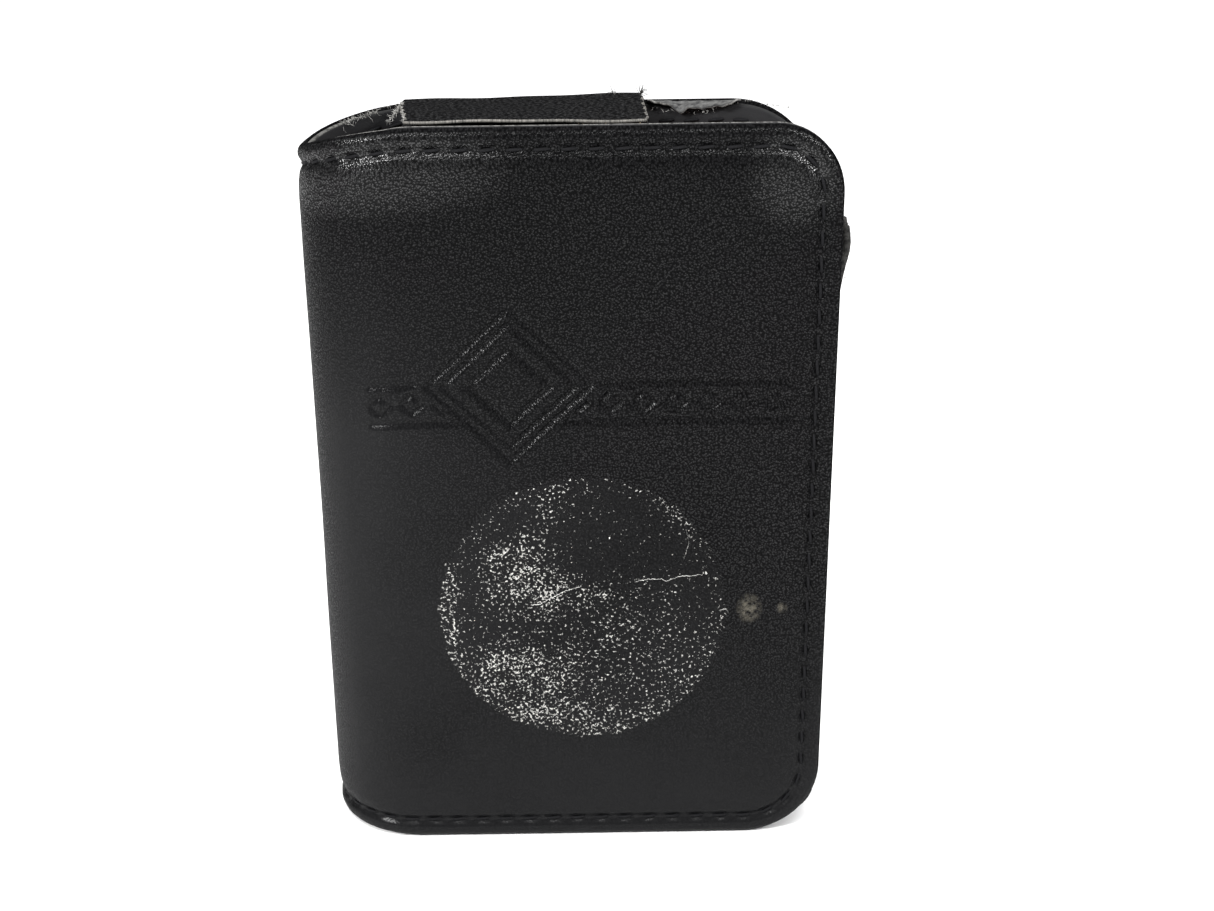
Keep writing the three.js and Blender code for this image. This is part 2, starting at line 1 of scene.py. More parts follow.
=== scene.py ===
"""A pocket radio in its black leather carrying case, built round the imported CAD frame."""
import json
import random
from math import cos, hypot, pi, radians, sin

import bmesh
import bpy
import numpy as np
from mathutils import Matrix, Vector


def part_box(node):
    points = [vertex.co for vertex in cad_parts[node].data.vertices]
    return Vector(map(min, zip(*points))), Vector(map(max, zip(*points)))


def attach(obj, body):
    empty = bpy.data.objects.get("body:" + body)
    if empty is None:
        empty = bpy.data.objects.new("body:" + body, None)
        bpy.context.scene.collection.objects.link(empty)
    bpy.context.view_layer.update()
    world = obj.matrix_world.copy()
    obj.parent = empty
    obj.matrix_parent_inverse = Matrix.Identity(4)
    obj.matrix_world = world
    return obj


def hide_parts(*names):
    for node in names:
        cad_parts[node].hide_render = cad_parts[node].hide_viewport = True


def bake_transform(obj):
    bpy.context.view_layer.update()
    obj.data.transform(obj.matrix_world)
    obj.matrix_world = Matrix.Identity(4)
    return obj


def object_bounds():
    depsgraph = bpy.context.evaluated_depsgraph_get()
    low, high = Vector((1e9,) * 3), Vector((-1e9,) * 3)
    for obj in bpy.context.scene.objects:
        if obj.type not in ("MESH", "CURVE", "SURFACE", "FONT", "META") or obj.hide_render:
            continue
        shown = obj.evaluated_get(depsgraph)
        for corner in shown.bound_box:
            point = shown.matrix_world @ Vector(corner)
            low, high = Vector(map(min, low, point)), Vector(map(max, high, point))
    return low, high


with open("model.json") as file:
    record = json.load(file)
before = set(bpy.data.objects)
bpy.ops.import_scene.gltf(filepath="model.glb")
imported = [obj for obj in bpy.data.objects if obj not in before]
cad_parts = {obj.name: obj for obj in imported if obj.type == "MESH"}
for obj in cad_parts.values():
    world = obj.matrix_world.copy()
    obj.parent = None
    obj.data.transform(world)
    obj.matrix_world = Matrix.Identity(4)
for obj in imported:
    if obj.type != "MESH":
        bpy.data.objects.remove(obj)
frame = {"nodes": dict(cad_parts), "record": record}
CAD_LOW, CAD_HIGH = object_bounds()
random.seed(11)
MM = 0.001
UNIT = 100 * MM

# ---- sizes, from the frame ----
COVER_LOW, COVER_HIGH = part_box("front_cover_leather")
SPINE_R = (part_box("back_cover_leather")[1].y - COVER_LOW.y) / 2
SPINE_X = CAD_LOW.x + SPINE_R
ARC = SPINE_R * pi / 2
LENGTH = ARC + COVER_HIGH.x - SPINE_X
HEIGHT = COVER_HIGH.z
SPINE_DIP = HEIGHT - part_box("spine_leather")[1].z + 2.6 * MM
FRONT, BACK = -1, 1
CORNER_TOP = {FRONT: 8.5 * MM, BACK: 12.0 * MM}
CORNER_BOTTOM = 10.5 * MM
LEATHER_IN = -1.2 * MM
HEM_OVER_BOARD = -2.25 * MM
HEM_ROUND_SPINE = -1.2 * MM
LINING_T = 0.5 * MM
SEAM = 2.6 * MM
PITCH = 3.35 * MM


# ---- numbers along curves ----
def smooth(x, a, b):
    """0 before a, 1 after b, and smooth between them; a may be above b."""
    t = np.clip((x - a) / (b - a), 0, 1)
    return t * t * (3 - 2 * t)


def bell(x, centre, width):
    return np.exp(-(((x - centre) / width) ** 2))


def curve(x, points):
    """A smooth line through (x, y) points, read at x."""
    xs = np.array([p[0] for p in points], float)
    ys = np.array([p[1] for p in points], float)
    slopes = np.gradient(ys, xs)
    i = np.clip(np.searchsorted(xs, x) - 1, 0, len(xs) - 2)
    width = xs[i + 1] - xs[i]
    t = np.clip((x - xs[i]) / width, 0, 1)
    start = (1 + 2 * t) * (1 - t) ** 2 * ys[i] + t * (1 - t) ** 2 * width * slopes[i]
    end = t * t * (3 - 2 * t) * ys[i + 1] + t * t * (t - 1) * width * slopes[i + 1]
    return start + end


def lengths(points):
    """How far along a line of points each of them lies."""
    steps = np.linalg.norm(np.diff(points, axis=0), axis=1)
    return np.concatenate([[0], np.cumsum(steps)])


def read_along(points, reach, spots):
    """The places on a line of points at spots along it; reach is its lengths."""
    return np.stack([np.interp(spots, reach, axis) for axis in np.transpose(points)], -1)


# ---- meshes ----
def new_mesh(name, points, faces, materials, face_slots=None, uv=None):
    mesh = bpy.data.meshes.new(name)
    mesh.from_pydata([tuple(p) for p in points], [], faces)
    for material in materials:
        mesh.materials.append(material)
    if face_slots is not None:
        mesh.polygons.foreach_set("material_index", np.array(face_slots, np.int32))
    if uv is not None:
        layer = mesh.uv_layers.new(name="sheet")
        corners = np.empty(len(mesh.loops), np.int32)
        mesh.loops.foreach_get("vertex_index", corners)
        layer.data.foreach_set("uv", np.array(uv, np.float32)[corners].ravel())
    mesh.polygons.foreach_set("use_smooth", [True] * len(mesh.polygons))
    mesh.update()
    piece = bpy.data.objects.new(name, mesh)
    bpy.context.scene.collection.objects.link(piece)
    return piece


def tidy_mesh(piece, merge=1e-7):
    """Joins points that coincide, drops empty faces and turns every face outwards."""
    bm = bmesh.new()
    bm.from_mesh(piece.data)
    bmesh.ops.remove_doubles(bm, verts=bm.verts, dist=merge)
    bmesh.ops.dissolve_degenerate(bm, edges=bm.edges, dist=1e-8)
    bmesh.ops.recalc_face_normals(bm, faces=bm.faces)
    bm.to_mesh(piece.data)
    bm.free()
    return piece


def grid_faces(rows, columns, close_rows=False, close_columns=False):
    """Four-sided faces over a grid of points stored row by row."""
    faces = []
    for i in range(rows if close_rows else rows - 1):
        for j in range(columns if close_columns else columns - 1):
            k, m = (i + 1) % rows, (j + 1) % columns
            faces.append((i * columns + j, i * columns + m, k * columns + m, k * columns + j))
    return faces


# ---- the wrapped sheets: s runs from the spine's middle to the free edge, z up, h outwards ----
def wrap(s, z, h, side):
    """From the flat sheet to its place round the spine (s below ARC) and over a cover."""
    s, z, h = np.broadcast_arrays(s, z, h)
    angle = np.clip(s, None, ARC) / SPINE_R
    radius = SPINE_R + h
    x = SPINE_X - radius * np.cos(angle) + np.clip(s - ARC, 0, None)
    y = side * radius * np.sin(angle)
    low, high = sheet_bottom(s), sheet_top(s)
    return np.stack([x, y, low + z / HEIGHT * (high - low)], -1)


def sheet_top(s):
    """The sheet's upper edge: level over the covers, dropping towards the spine's middle."""
    crown = 0.25 * MM * smooth(s, ARC, LENGTH)
    from_middle = np.hypot(s, 3 * MM)
    return HEIGHT - 0.2 * MM + crown - SPINE_DIP * smooth(from_middle, ARC * 1.2, -ARC * 0.35)


def sheet_bottom(s):
    return 0.1 * MM * smooth(s, ARC * 1.6, ARC * 0.6)


N_STRAIGHT, N_ARC, N_SIDE = 190, 16, 190


def ring(inset, half):
    """A U-shaped line that stays inset from the half sheet's outline: top, right and bottom edge."""
    top, right = HEIGHT - inset, LENGTH - inset
    room = max(HEIGHT / 2 - inset, 0)
    r_top = min(max(CORNER_TOP[half] - inset, 2 * MM), room)
    r_bottom = min(max(CORNER_BOTTOM - inset, 2 * MM), room)
    turn = np.linspace(0, pi / 2, N_ARC, endpoint=False)
    along_top = np.linspace(0, right - r_top, N_STRAIGHT, endpoint=False)
    down = np.linspace(top - r_top, inset + r_bottom, N_SIDE, endpoint=False)
    along_bottom = np.linspace(right - r_bottom, 0, N_STRAIGHT + 1)
    s = np.concatenate([
        along_top, right - r_top + r_top * np.sin(turn), np.full(N_SIDE, right),
        right - r_bottom + r_bottom * np.cos(turn), along_bottom,
    ])
    z = np.concatenate([
        np.full(N_STRAIGHT, top), top - r_top + r_top * np.cos(turn), down,
        inset + r_bottom - r_bottom * np.sin(turn), np.full(N_STRAIGHT + 1, inset),
    ])
    return s, z


class Seam:
    """The sewn line of a half sheet: its (s, z) points, the length along it, and the stitches."""

    def __init__(self, half):
        self.line = np.stack(ring(SEAM, half), -1)
        self.at = lengths(self.line)
        self.count = 2 * round(self.at[-1] / PITCH / 2)
        self.stitch = self.at[-1] / self.count
        self.under_thread = (0.5 - 0.5 * np.cos(2 * pi * self.at / self.stitch)) ** 0.7

    def place(self, at):
        return read_along(self.line, self.at, at)


SEAMS = {half: Seam(half) for half in (FRONT, BACK)}


def spine_share(s):
    """1 round the spine, where there is no board under the leather, and 0 over the covers."""
    return smooth(s, ARC + 1.5 * MM, ARC - 1.0 * MM)


def hem(s):
    return HEM_OVER_BOARD + (HEM_ROUND_SPINE - HEM_OVER_BOARD) * spine_share(s)


def lining_back(s):
    return hem(s) - 0.05 * MM


# the outer face's profile: distance in from the edge, and height, in mm
RIM = [(0, -0.85), (0.12, -0.5), (0.35, -0.2), (0.75, 0.04), (1.25, 0.13), (1.75, 0.03), (2.2, -0.25),
       (2.6, -0.42), (3.0, -0.3), (3.5, -0.04), (4.3, 0.12), (6, 0.2), (10, 0.22), (60, 0.22)]


def ripple(s, z):
    """The slow unevenness of stuffed leather, in metres."""
    a = np.sin(s / (9.5 * MM) + 1.3) * np.sin(z / (13 * MM) + 0.4)
    b = np.sin((s + z) / (6.1 * MM)) * np.sin((s - 0.7 * z) / (8.3 * MM) + 2)
    return (0.05 * a + 0.022 * b) * MM


def leather_height(inset, half):
    """How far the outer face stands out from the nominal wrap, all along the ring at that inset."""
    s, z = ring(inset, half)
    depth = inset / MM
    height = curve(np.full_like(s, depth), RIM) * MM
    under_thread = SEAMS[half].under_thread
    height -= 0.3 * MM * (under_thread - 0.3) * bell(depth, 2.6, 0.5)
    height -= 0.06 * MM * under_thread * bell(depth, 3.9, 0.9)
    height -= 0.05 * MM * under_thread * bell(depth, 1.3, 0.6)
    height += ripple(s, z) * smooth(depth, 2.6, 7)
    if half == FRONT:
        height -= stamp(s, z)
    return height


# ---- the blind stamp: a lozenge over a band of small lozenges between two lines ----
STAMP_S, STAMP_Z = ARC + 14.0 * MM, 66.5 * MM
BAND_START, BAND_END, BAND_Z = ARC - 4.2 * MM, ARC + 50.4 * MM, 64.2 * MM


def stamp(s, z):
    x, y = np.abs(s - STAMP_S) / MM, np.abs(z - STAMP_Z) / MM
    lozenge = x / 10.5 + y / 10.0
    lines = bell(lozenge, 1.0, 0.055) + bell(lozenge, 0.82, 0.055) + bell(lozenge, 0.5, 0.07)
    band_y = np.abs(z - BAND_Z) / MM
    reach = smooth(s, BAND_START, BAND_START + 0.4 * MM) * smooth(s, BAND_END, BAND_END - 0.4 * MM)
    beside = smooth(lozenge, 1.1, 1.16)
    pitch = 4.2
    along = (s - BAND_START) / MM
    small = np.abs((along + 0.5) % pitch - pitch / 2) / 1.7 + band_y / 1.5
    band = bell(band_y, 2.5, 0.36) + bell(small, 0.85, 0.3)
    return 0.4 * MM * np.clip(lines + beside * reach * band, 0, 1)


def insets(rim, step):
    """The rim's insets, in mm, and then one every step mm to the sheet's middle, all in metres."""
    panel = np.arange(rim[-1] + step, HEIGHT / MM / 2 - step / 2, step)
    return [inset * MM for inset in (*rim, *panel)] + [HEIGHT / 2]


def ring_sheet(name, rows, side, materials, lowered=0.0):
    """Builds one half of a wrapped sheet from rows of (inset, material, heights), where material is
    that of the strip to the next row. lowered drops the top edge away from the spine. The cut across
    the spine's middle, where the other half meets it, is capped."""
    points, coords = [], []
    for inset, _, heights in rows:
        s, z = ring(inset, side)
        z = z - lowered * smooth(s, 0, ARC) * smooth(z, 90 * MM, 97 * MM)
        points.append(wrap(s, z, heights, side))
        coords.append(np.stack([s, z], -1) / UNIT)
    columns = len(points[0])
    faces = grid_faces(len(rows), columns)
    slots = [slot for _, slot, _ in rows[:-1] for _ in range(columns - 1)]
    ends = [i * columns for i in range(len(rows))]
    faces.append(tuple(ends + [k + columns - 1 for k in reversed(ends)]))
    slots.append(rows[0][1])
    piece = new_mesh(name, np.concatenate(points), faces, materials, slots, np.concatenate(coords))
    return sharpen_cap(tidy_mesh(piece, 2e-6))


def sharpen_cap(piece):
    """Keeps the face across the cut from bending the shading beside it."""
    cap = max(piece.data.polygons, key=lambda face: face.loop_total)
    around = set(cap.edge_keys)
    for edge in piece.data.edges:
        if edge.key in around:
            edge.use_edge_sharp = True
    return piece


# the turned edge: insets in mm, and how much of the hem's height each has
TURNED_EDGE = ((1.4, 1.0), (0.75, 1.0), (0.45, 0.94), (0.18, 0.75), (0.04, 0.52), (0.0, 0.3), (0.1, 0.0))


def leather_sheet(name, side, materials, step):
    """Outer face, turned edge and inner face of one half of the leather wrap."""
    rows = [(inset, 1, LEATHER_IN) for inset in (HEIGHT / 2, 36 * MM, 20 * MM, 8 * MM, 1.6 * MM)]
    for depth, share in TURNED_EDGE:
        inset = depth * MM
        under = hem(ring(inset, side)[0])
        rows.append((inset, 1, leather_height(inset, side) * (1 - share) + under * share))
    rows += [(inset, 0, leather_height(inset, side)) for inset in insets(np.linspace(0.35, 5.2, 27), step)]
    return ring_sheet(name, rows, side, materials)


# the insets in mm where the lining's seam needs them
LINING_RIM = (0.2, 0.5, 0.9, 1.3, 1.7, 2.0, 2.3, 2.6, 2.9, 3.3, 3.8, 4.5, 5.5)


def lining_height(inset, half):
    s, z = ring(inset, half)
    depth = inset / MM
    dent = (0.12 + 0.14 * SEAMS[half].under_thread) * bell(depth, 2.6, 0.5)
    wave = 0.06 * np.sin(s / (5 * MM) + 0.5) * np.sin(z / (8 * MM)) * smooth(depth, 3, 8)
    return lining_back(s) - LINING_T + (dent + wave) * MM


def lining_sheet(name, side, materials, step, lowered):
    """The lining of one half: its back against the board, a raw edge, and its face to the inside."""
    rows = []
    for inset, slot in ((HEIGHT / 2, 0), (24 * MM, 0), (8 * MM, 0), (0.9 * MM, 0), (0.02 * MM, 1)):
        rows.append((inset, slot, lining_back(ring(inset, side)[0])))
    rows.append((0.0, 1, lining_back(ring(0.0, side)[0]) - 0.75 * LINING_T))
    rows += [(inset, 0, lining_height(inset, side)) for inset in insets(LINING_RIM, step)]
    return ring_sheet(name, rows, side, materials, lowered)


# ---- thread: stitches along the sheets' seam ----
def add_tube(points, faces, rings):
    """Adds a closed tube through rings of points."""
    first, around = len(points), len(rings[0])
    last = first + around * (len(rings) - 1)
    for ring_points in rings:
        points += ring_points
    faces += [tuple(first + q for q in f) for f in grid_faces(len(rings), around, close_columns=True)]
    faces += [tuple(range(first, first + around)), tuple(reversed(range(last, last + around)))]


def add_stitch(points, faces, radius, place):
    """Adds one thread loop. place gives a point from t, -1 to 1 along the stitch, and how far out
    across the thread and up it lies."""
    rings = []
    for t in np.linspace(-1, 1, 7):
        thick = radius * (1 - 0.35 * t * t)
        angles = [2 * pi * j / 6 for j in range(6)]
        rings.append([place(t, thick * cos(angle), thick * sin(angle)) for angle in angles])
    add_tube(points, faces, rings)


def stitch_row(name, side, base, sign):
    """One thread loop after another: each comes up at one hole, arches over and goes down at the
    next. base is the height of the groove as a function of s, and sign points away from the sheet."""
    seam = SEAMS[side]
    half = 0.43 * seam.stitch
    points, faces = [], []
    for k in range(seam.count):
        at = (k + 0.5) * seam.stitch
        middle = seam.place(at)
        along = seam.place(at + half / 4) - middle
        along /= np.linalg.norm(along)
        across = np.array([-along[1], along[0]])
        slant = 0.13 * MM * random.uniform(0.6, 1.3)

        def place(t, out, up):
            s, z = middle + along * t * half + across * (slant * t + out)
            lift = (0.2 * (1 - t * t) - 0.42 * abs(t) ** 5) * MM
            return wrap(s, z, base(s) + sign * (lift + 0.75 * up), side)

        add_stitch(points, faces, 0.23 * MM, place)
    return tidy_mesh(new_mesh(name, points, faces, [THREAD]), 1e-8)


# ---- materials ----
class Value:
    """A node's output, which is added, taken away, multiplied and stretched like a number."""

    def __init__(self, shader, socket):
        self.shader = shader
        self.socket = socket

    def __add__(self, other):
        return self.shader.math("ADD", self, other)

    def __sub__(self, other):
        return self.shader.math("SUBTRACT", self, other)

    def __rsub__(self, other):
        return self.shader.math("SUBTRACT", other, self)

    def __mul__(self, other):
        return self.shader.math("MULTIPLY", self, other)

    def span(self, low, high, out_low=0.0, out_high=1.0):
        """Stretches low..high to out_low..out_high, and stays flat beyond both ends."""
        return self.shader.node("MapRange", "Result", {"Value": self, "From Min": low, "From Max": high,
                                                       "To Min": out_low, "To Max": out_high})


class Shader:
    """A node material. Its place on the surface is in units of 0.1 m: on the flat sheet with uv,
    otherwise in the row frame."""

    def __init__(self, name, uv=False):
        self.material = bpy.data.materials.new(name)
        self.material.use_nodes = True
        self.tree = self.material.node_tree
        self.main = self.tree.nodes["Principled BSDF"]
        self.grain_kind = "2D" if uv else "3D"
        if uv:
            self.place = self.node("UVMap", "UV", uv_map="sheet")
        else:
            self.place = self.scaled(self.node("TexCoord", "Object"), (10, 10, 10))

    def node(self, kind, output, inputs=None, **settings):
        made = self.tree.nodes.new("ShaderNode" + kind)
        for key, value in settings.items():
            setattr(made, key, value)
        for key, value in (inputs or {}).items():
            self.put(made.inputs[key], value)
        return Value(self, made.outputs[output])

    def put(self, socket, value):
        if isinstance(value, Value):
            self.tree.links.new(value.socket, socket)
        else:
            socket.default_value = value

    def finish(self, **values):
        for key, value in values.items():
            self.put(self.main.inputs[key.replace("_", " ")], value)
        return self.material

    def math(self, operation, a, b, clamp=False):
        return self.node("Math", 0, {0: a, 1: b}, operation=operation, use_clamp=clamp)

    def vector(self, operation, a, b):
        return self.node("VectorMath", 0, {0: a, 1: b}, operation=operation)

    def scaled(self, place, scale):
        return self.node("Mapping", "Vector", {"Vector": place, "Scale": scale})

    def part(self, vector, axis):
        return self.node("SeparateXYZ", axis, {0: vector})

    def length(self, vector):
        return self.node("VectorMath", "Value", {0: vector}, operation="LENGTH")

    def noise(self, scale, detail=2.0, rough=0.5, place=None):
        inputs = {"Vector": place or self.place, "Scale": scale, "Detail": detail, "Roughness": rough}
        return self.node("TexNoise", "Fac", inputs)

    def cells(self, scale, feature="F1", place=None, kind="3D"):
        inputs = {"Vector": place or self.place, "Scale": scale}
        return self.node("TexVoronoi", "Distance", inputs, feature=feature, voronoi_dimensions=kind)

    def ramp(self, value, *stops):
        made = self.node("ValToRGB", "Color", {"Fac": value})
        for element, (position, color) in zip(made.socket.node.color_ramp.elements, stops):
            element.position = position
            element.color = (*color, 1)
        return made

    def mix(self, factor, a, b):
        """The colour a where factor is 0, b where it is 1."""
        a, b = ((*color, 1) if isinstance(color, tuple) else color for color in (a, b))
        return self.node("Mix", 2, {0: factor, 6: a, 7: b}, data_type="RGBA")

    def between(self, factor, a, b):
        """The number a where factor is 0, b where it is 1."""
        return self.node("Mix", 0, {0: factor, 2: a, 3: b}, data_type="FLOAT")

    def bump(self, height, distance, strength=1.0, under=None):
        inputs = {"Height": height, "Distance": distance, "Strength": strength}
        if under is not None:
            inputs["Normal"] = under
        return self.node("Bump", "Normal", inputs)


def pebbles(shader, size):
    """Leather grain: rounded pebbles about size mm across, 1 on their tops and 0 in the valleys."""
    drift = shader.node("TexNoise", "Color", {"Vector": shader.place, "Scale": 90.0, "Detail": 1.0})
    moved = shader.vector("ADD", shader.place, shader.vector("MULTIPLY", drift, (0.004, 0.004, 0.004)))
    cells = shader.cells(100 / size, "F1", moved, shader.grain_kind)
    domes = shader.math("POWER", cells, 1.6).span(0.0, 0.5, 1.0, 0.0)
    return domes + shader.noise(520.0, 2.0).span(0.3, 0.7, -0.12, 0.12)


# rubbed shiny: the middle of each spot on the sheet, and its reach
POLISHED = [
    ((ARC - 1 * MM, 94 * MM), (15 * MM, 5.5 * MM)),
    ((LENGTH - 6 * MM, 92.5 * MM), (6 * MM, 6 * MM)),
]


def leather_material(name, uv=True, grain=1.0, base=0.0043, marks=False, rough=0.5, coat=0.5, size=0.31):
    """Black pebbled leather, its colour painted darker in the grain's valleys as shade and lighter on the
    pebble tops as highlight.
    grain is how strong the pebbles are, base how light it is, and marks says that it has the cover's wear
    with painted sheen, and glue."""
    shader = Shader(name, uv)
    relief = pebbles(shader, size)
    strength = shader.noise(4.0, 2.0).span(0.35, 0.65, 0.7 * grain, grain)
    uneven = shader.noise(150.0, 1.0).span(0.35, 0.65, 0.2, 1.7)
    tops = (shader.math("POWER", relief.span(0.4, 1.05), 2.0) * uneven).span(0.0, 1.0, 0.12, 1.0)
    # painted shade and highlight: the colour is darkened in the grain's valleys and lightened on the pebble
    # tops, as light falls on the relief
    painted_pebble_shade = relief.span(0.0, 1.0, 0.4, 1.4)
    if marks:
        # grain rubbed smooth at the foot and by the spine, where the colour is also lightened as painted
        # sheen
        kept, flat_and_painted_sheen = smooth_wear_and_sheen(shader)
        strength = strength * kept
        painted_pebble_shade = shader.between(kept, flat_and_painted_sheen, painted_pebble_shade)
        tops = shader.between(kept, flat_and_painted_sheen * 0.2, tops)
        for centre, reach in POLISHED:
            spot = blob(shader, shader.place, np.array(centre) / UNIT, np.array(reach) / UNIT, 3.0)
            tops = tops * (spot + 1.0)
    color = shader.mix(painted_pebble_shade * 0.5, (0, 0, 0), (2 * base, 2 * base, 2.12 * base))
    rubbed = shader.noise(10.0, 4.0).span(0.3, 0.7)
    roughness = rubbed.span(0.0, 1.0, rough - 0.05, rough + 0.06)
    normal = shader.bump(relief, 0.15 * MM, strength)
    if marks:
        color, roughness, normal = label_residue(shader, color, roughness, normal)
    return shader.finish(
        Base_Color=color, Roughness=roughness, Normal=normal, Specular_IOR_Level=tops * 0.02,
        Coat_Weight=shader.math("MULTIPLY", tops, coat, clamp=True), Coat_Roughness=0.24,
        Coat_Normal=shader.bump(relief, 0.042 * MM, strength),
    )


RESIDUE_S, RESIDUE_Z, RESIDUE_R = ARC + 22.95 * MM, 34.9 * MM, 19.1 * MM


def from_label(shader):
    """Place on the cover in label radii from the label's middle, and the distance from it."""
    offset = shader.vector("SUBTRACT", shader.place, (RESIDUE_S / UNIT, RESIDUE_Z / UNIT, 0))
    scaled = shader.vector("MULTIPLY", offset, (UNIT / RESIDUE_R, UNIT / RESIDUE_R, 0))
    return scaled, shader.length(scaled)


def blob(shader, place, centre, size, weight):
    """A soft spot of that weight round centre, fading out at size, both in place's units."""
    moved = shader.vector("SUBTRACT", place, (*centre, 0))
    shaped = shader.vector("MULTIPLY", moved, (1 / size[0], 1 / size[1], 0))
    return shader.length(shaped).span(1.15, 0.45, 0.0, weight)


def smooth_wear_and_sheen(shader):
    """The cover's grain is rubbed smooth at its foot and by the spine, and flat under the label:
    how much of the grain is kept, and the colour where it is lost, lightened at the foot and by the spine as
    painted sheen of the bright floor."""
    s, z = (shader.part(shader.place, axis) for axis in (0, 1))
    wobble = (shader.noise(5.0, 3.0) - 0.5) * 0.25
    foot = (z + wobble).span(0.42, 0.05)
    spine = (s + wobble).span(0.5, 0.12) * z.span(0.95, 0.6)
    # one mask for both: where the grain is rubbed smooth, and where painted sheen lightens the colour
    wear_and_sheen = shader.math("MAXIMUM", foot, spine) * s.span(0.01, 0.1)
    under = from_label(shader)[1].span(1.0, 0.97)
    kept = (1.0 - wear_and_sheen * 0.72) * under.span(0.0, 1.0, 1.0, 0.45)
    # painted sheen: the colour is up to 1.75 times lighter where the grain is rubbed smooth
    return kept, wear_and_sheen.span(0.0, 1.0, 0.8, 1.75)


# in label radii from its middle: where the glue stayed and how thickly, and where it is bare
GLUE_SPOTS = [
    ((-0.36, 0.38), (0.36, 0.44), 0.11), ((-0.12, 0.82), (0.3, 0.14), 0.06),
    ((-0.05, 0.14), (0.34, 0.12), 0.07), ((-0.5, -0.52), (0.5, 0.3), 0.10),
    ((-0.2, -0.82), (0.45, 0.14), 0.08), ((-0.93, 0.0), (0.12, 0.4), 0.06),
    ((0.3, -0.4), (0.85, 0.8), 0.07), ((-0.62, 0.0), (0.4, 0.6), 0.045),
    ((0.62, 0.62), (0.22, 0.3), 0.05),
]
BARE_SPOTS = [((0.3, 0.48), (0.62, 0.32)), ((-0.62, 0.72), (0.26, 0.2))]


def label_residue(shader, color, rough, normal):
    """A round label's torn glue: pale crumbs in the valleys of the grain, thick at the upper and
    lower left, fine over the lower half and bare at the upper right."""
    scaled, radius = from_label(shader)
    edge = radius + shader.noise(70.0, 3.0).span(0.3, 0.7, -0.02, 0.02)
    density = radius.span(0.86, 0.97) * 0.05
    for centre, size, weight in GLUE_SPOTS:
        density = density + blob(shader, scaled, centre, size, weight)
    density = density * shader.noise(38.0, 2.0).span(0.35, 0.65, 0.6, 1.25)
    for centre, size in BARE_SPOTS:
        hole = blob(shader, scaled, centre, size, 1.0) * (1.0 - radius.span(0.84, 0.93))
        density = density * shader.math("SUBTRACT", 1.0, hole, clamp=True)
    valley = shader.cells(200.0, "DISTANCE_TO_EDGE").span(0.17, 0.09)
    broken = shader.noise(230.0, 3.0, 0.6)
    crumb = (broken - (0.66 - density)).span(0.0, 0.03) * valley
    lumps = shader.cells(120.0).span(0.16, 0.12)
    picked = (shader.noise(61.0, 1.0) - (0.8 - density * 1.4)).span(0.0, 0.02)
    crumb = shader.math("MAXIMUM", crumb, lumps * picked)
    crumb = shader.math("MULTIPLY", crumb, edge.span(1.0, 0.985), clamp=True)
    pale = shader.ramp(shader.noise(500.0, 1.0), (0.3, (0.09, 0.09, 0.085)), (0.65, (0.6, 0.59, 0.56)))
    color, smudge = smudges(shader, scaled, shader.mix(crumb, color, pale))
    rough = shader.math("ADD", rough, (crumb + smudge) * 0.35, clamp=True)
    return color, rough, shader.bump(crumb, 0.1 * MM, 0.7, normal)


def smudges(shader, scaled, color):
    """Two brownish rubbed spots to the right of the label, and a few stray pale dots."""
    grit = shader.noise(130.0, 4.0, 0.7).span(0.38, 0.6)
    large = blob(shader, scaled, (1.16, 0.0), (0.085, 0.11), 1.0) * grit
    small = blob(shader, scaled, (1.39, 0.0), (0.04, 0.04), 0.8) * grit
    smudge = shader.math("MAXIMUM", large, small)
    color = shader.mix(smudge * 0.75, color, (0.085, 0.078, 0.062))
    dust = shader.cells(9.0).span(0.022, 0.014) * shader.noise(3.0, 0.0).span(0.48, 0.52)
    return shader.mix(dust, color, (0.4, 0.4, 0.38)), smudge


def lining_material(name, uv=True):
    shader = Shader(name, uv)
    weave = shader.noise(300.0, 1.0) + shader.noise(30.0, 3.0)
    faded = shader.noise(8.0, 3.0).span(0.3, 0.7)
    return shader.finish(
        Base_Color=shader.mix(faded, (0.010, 0.010, 0.011), (0.020, 0.020, 0.021)),
        Roughness=weave.span(0.6, 1.4, 0.5, 0.65), Specular_IOR_Level=0.16,
        Normal=shader.bump(weave, 0.05 * MM, 0.5),
    )


def raw_material(name, dark, light, scale=160.0, uv=True, fade=None):
    """Cut leather or board: pale fibres with darker ones among them. fade is where along the sheet,
    in units of 0.1 m from the spine's middle, the pale edge ends and a dark one starts."""
    shader = Shader(name, uv)
    fibre = shader.noise(scale, 4.0, 0.65)
    color = shader.ramp(fibre, (0.36, dark), (0.62, light))
    if fade is not None:
        ended = shader.part(shader.place, 0).span(fade - 0.03, fade + 0.03)
        color = shader.mix(ended, color, (0.02, 0.02, 0.02))
    return shader.finish(Base_Color=color, Roughness=0.9, Specular_IOR_Level=0.1,
                         Normal=shader.bump(fibre, 0.12 * MM, 0.8))


def thread_material(name):
    shader = Shader(name)
    ply = shader.noise(380.0, 2.0)
    color = shader.mix(ply, (0.002, 0.002, 0.0025), (0.008, 0.008, 0.009))
    return shader.finish(Base_Color=color, Roughness=0.75, Specular_IOR_Level=0.12,
                         Normal=shader.bump(ply, 0.05 * MM, 0.7))


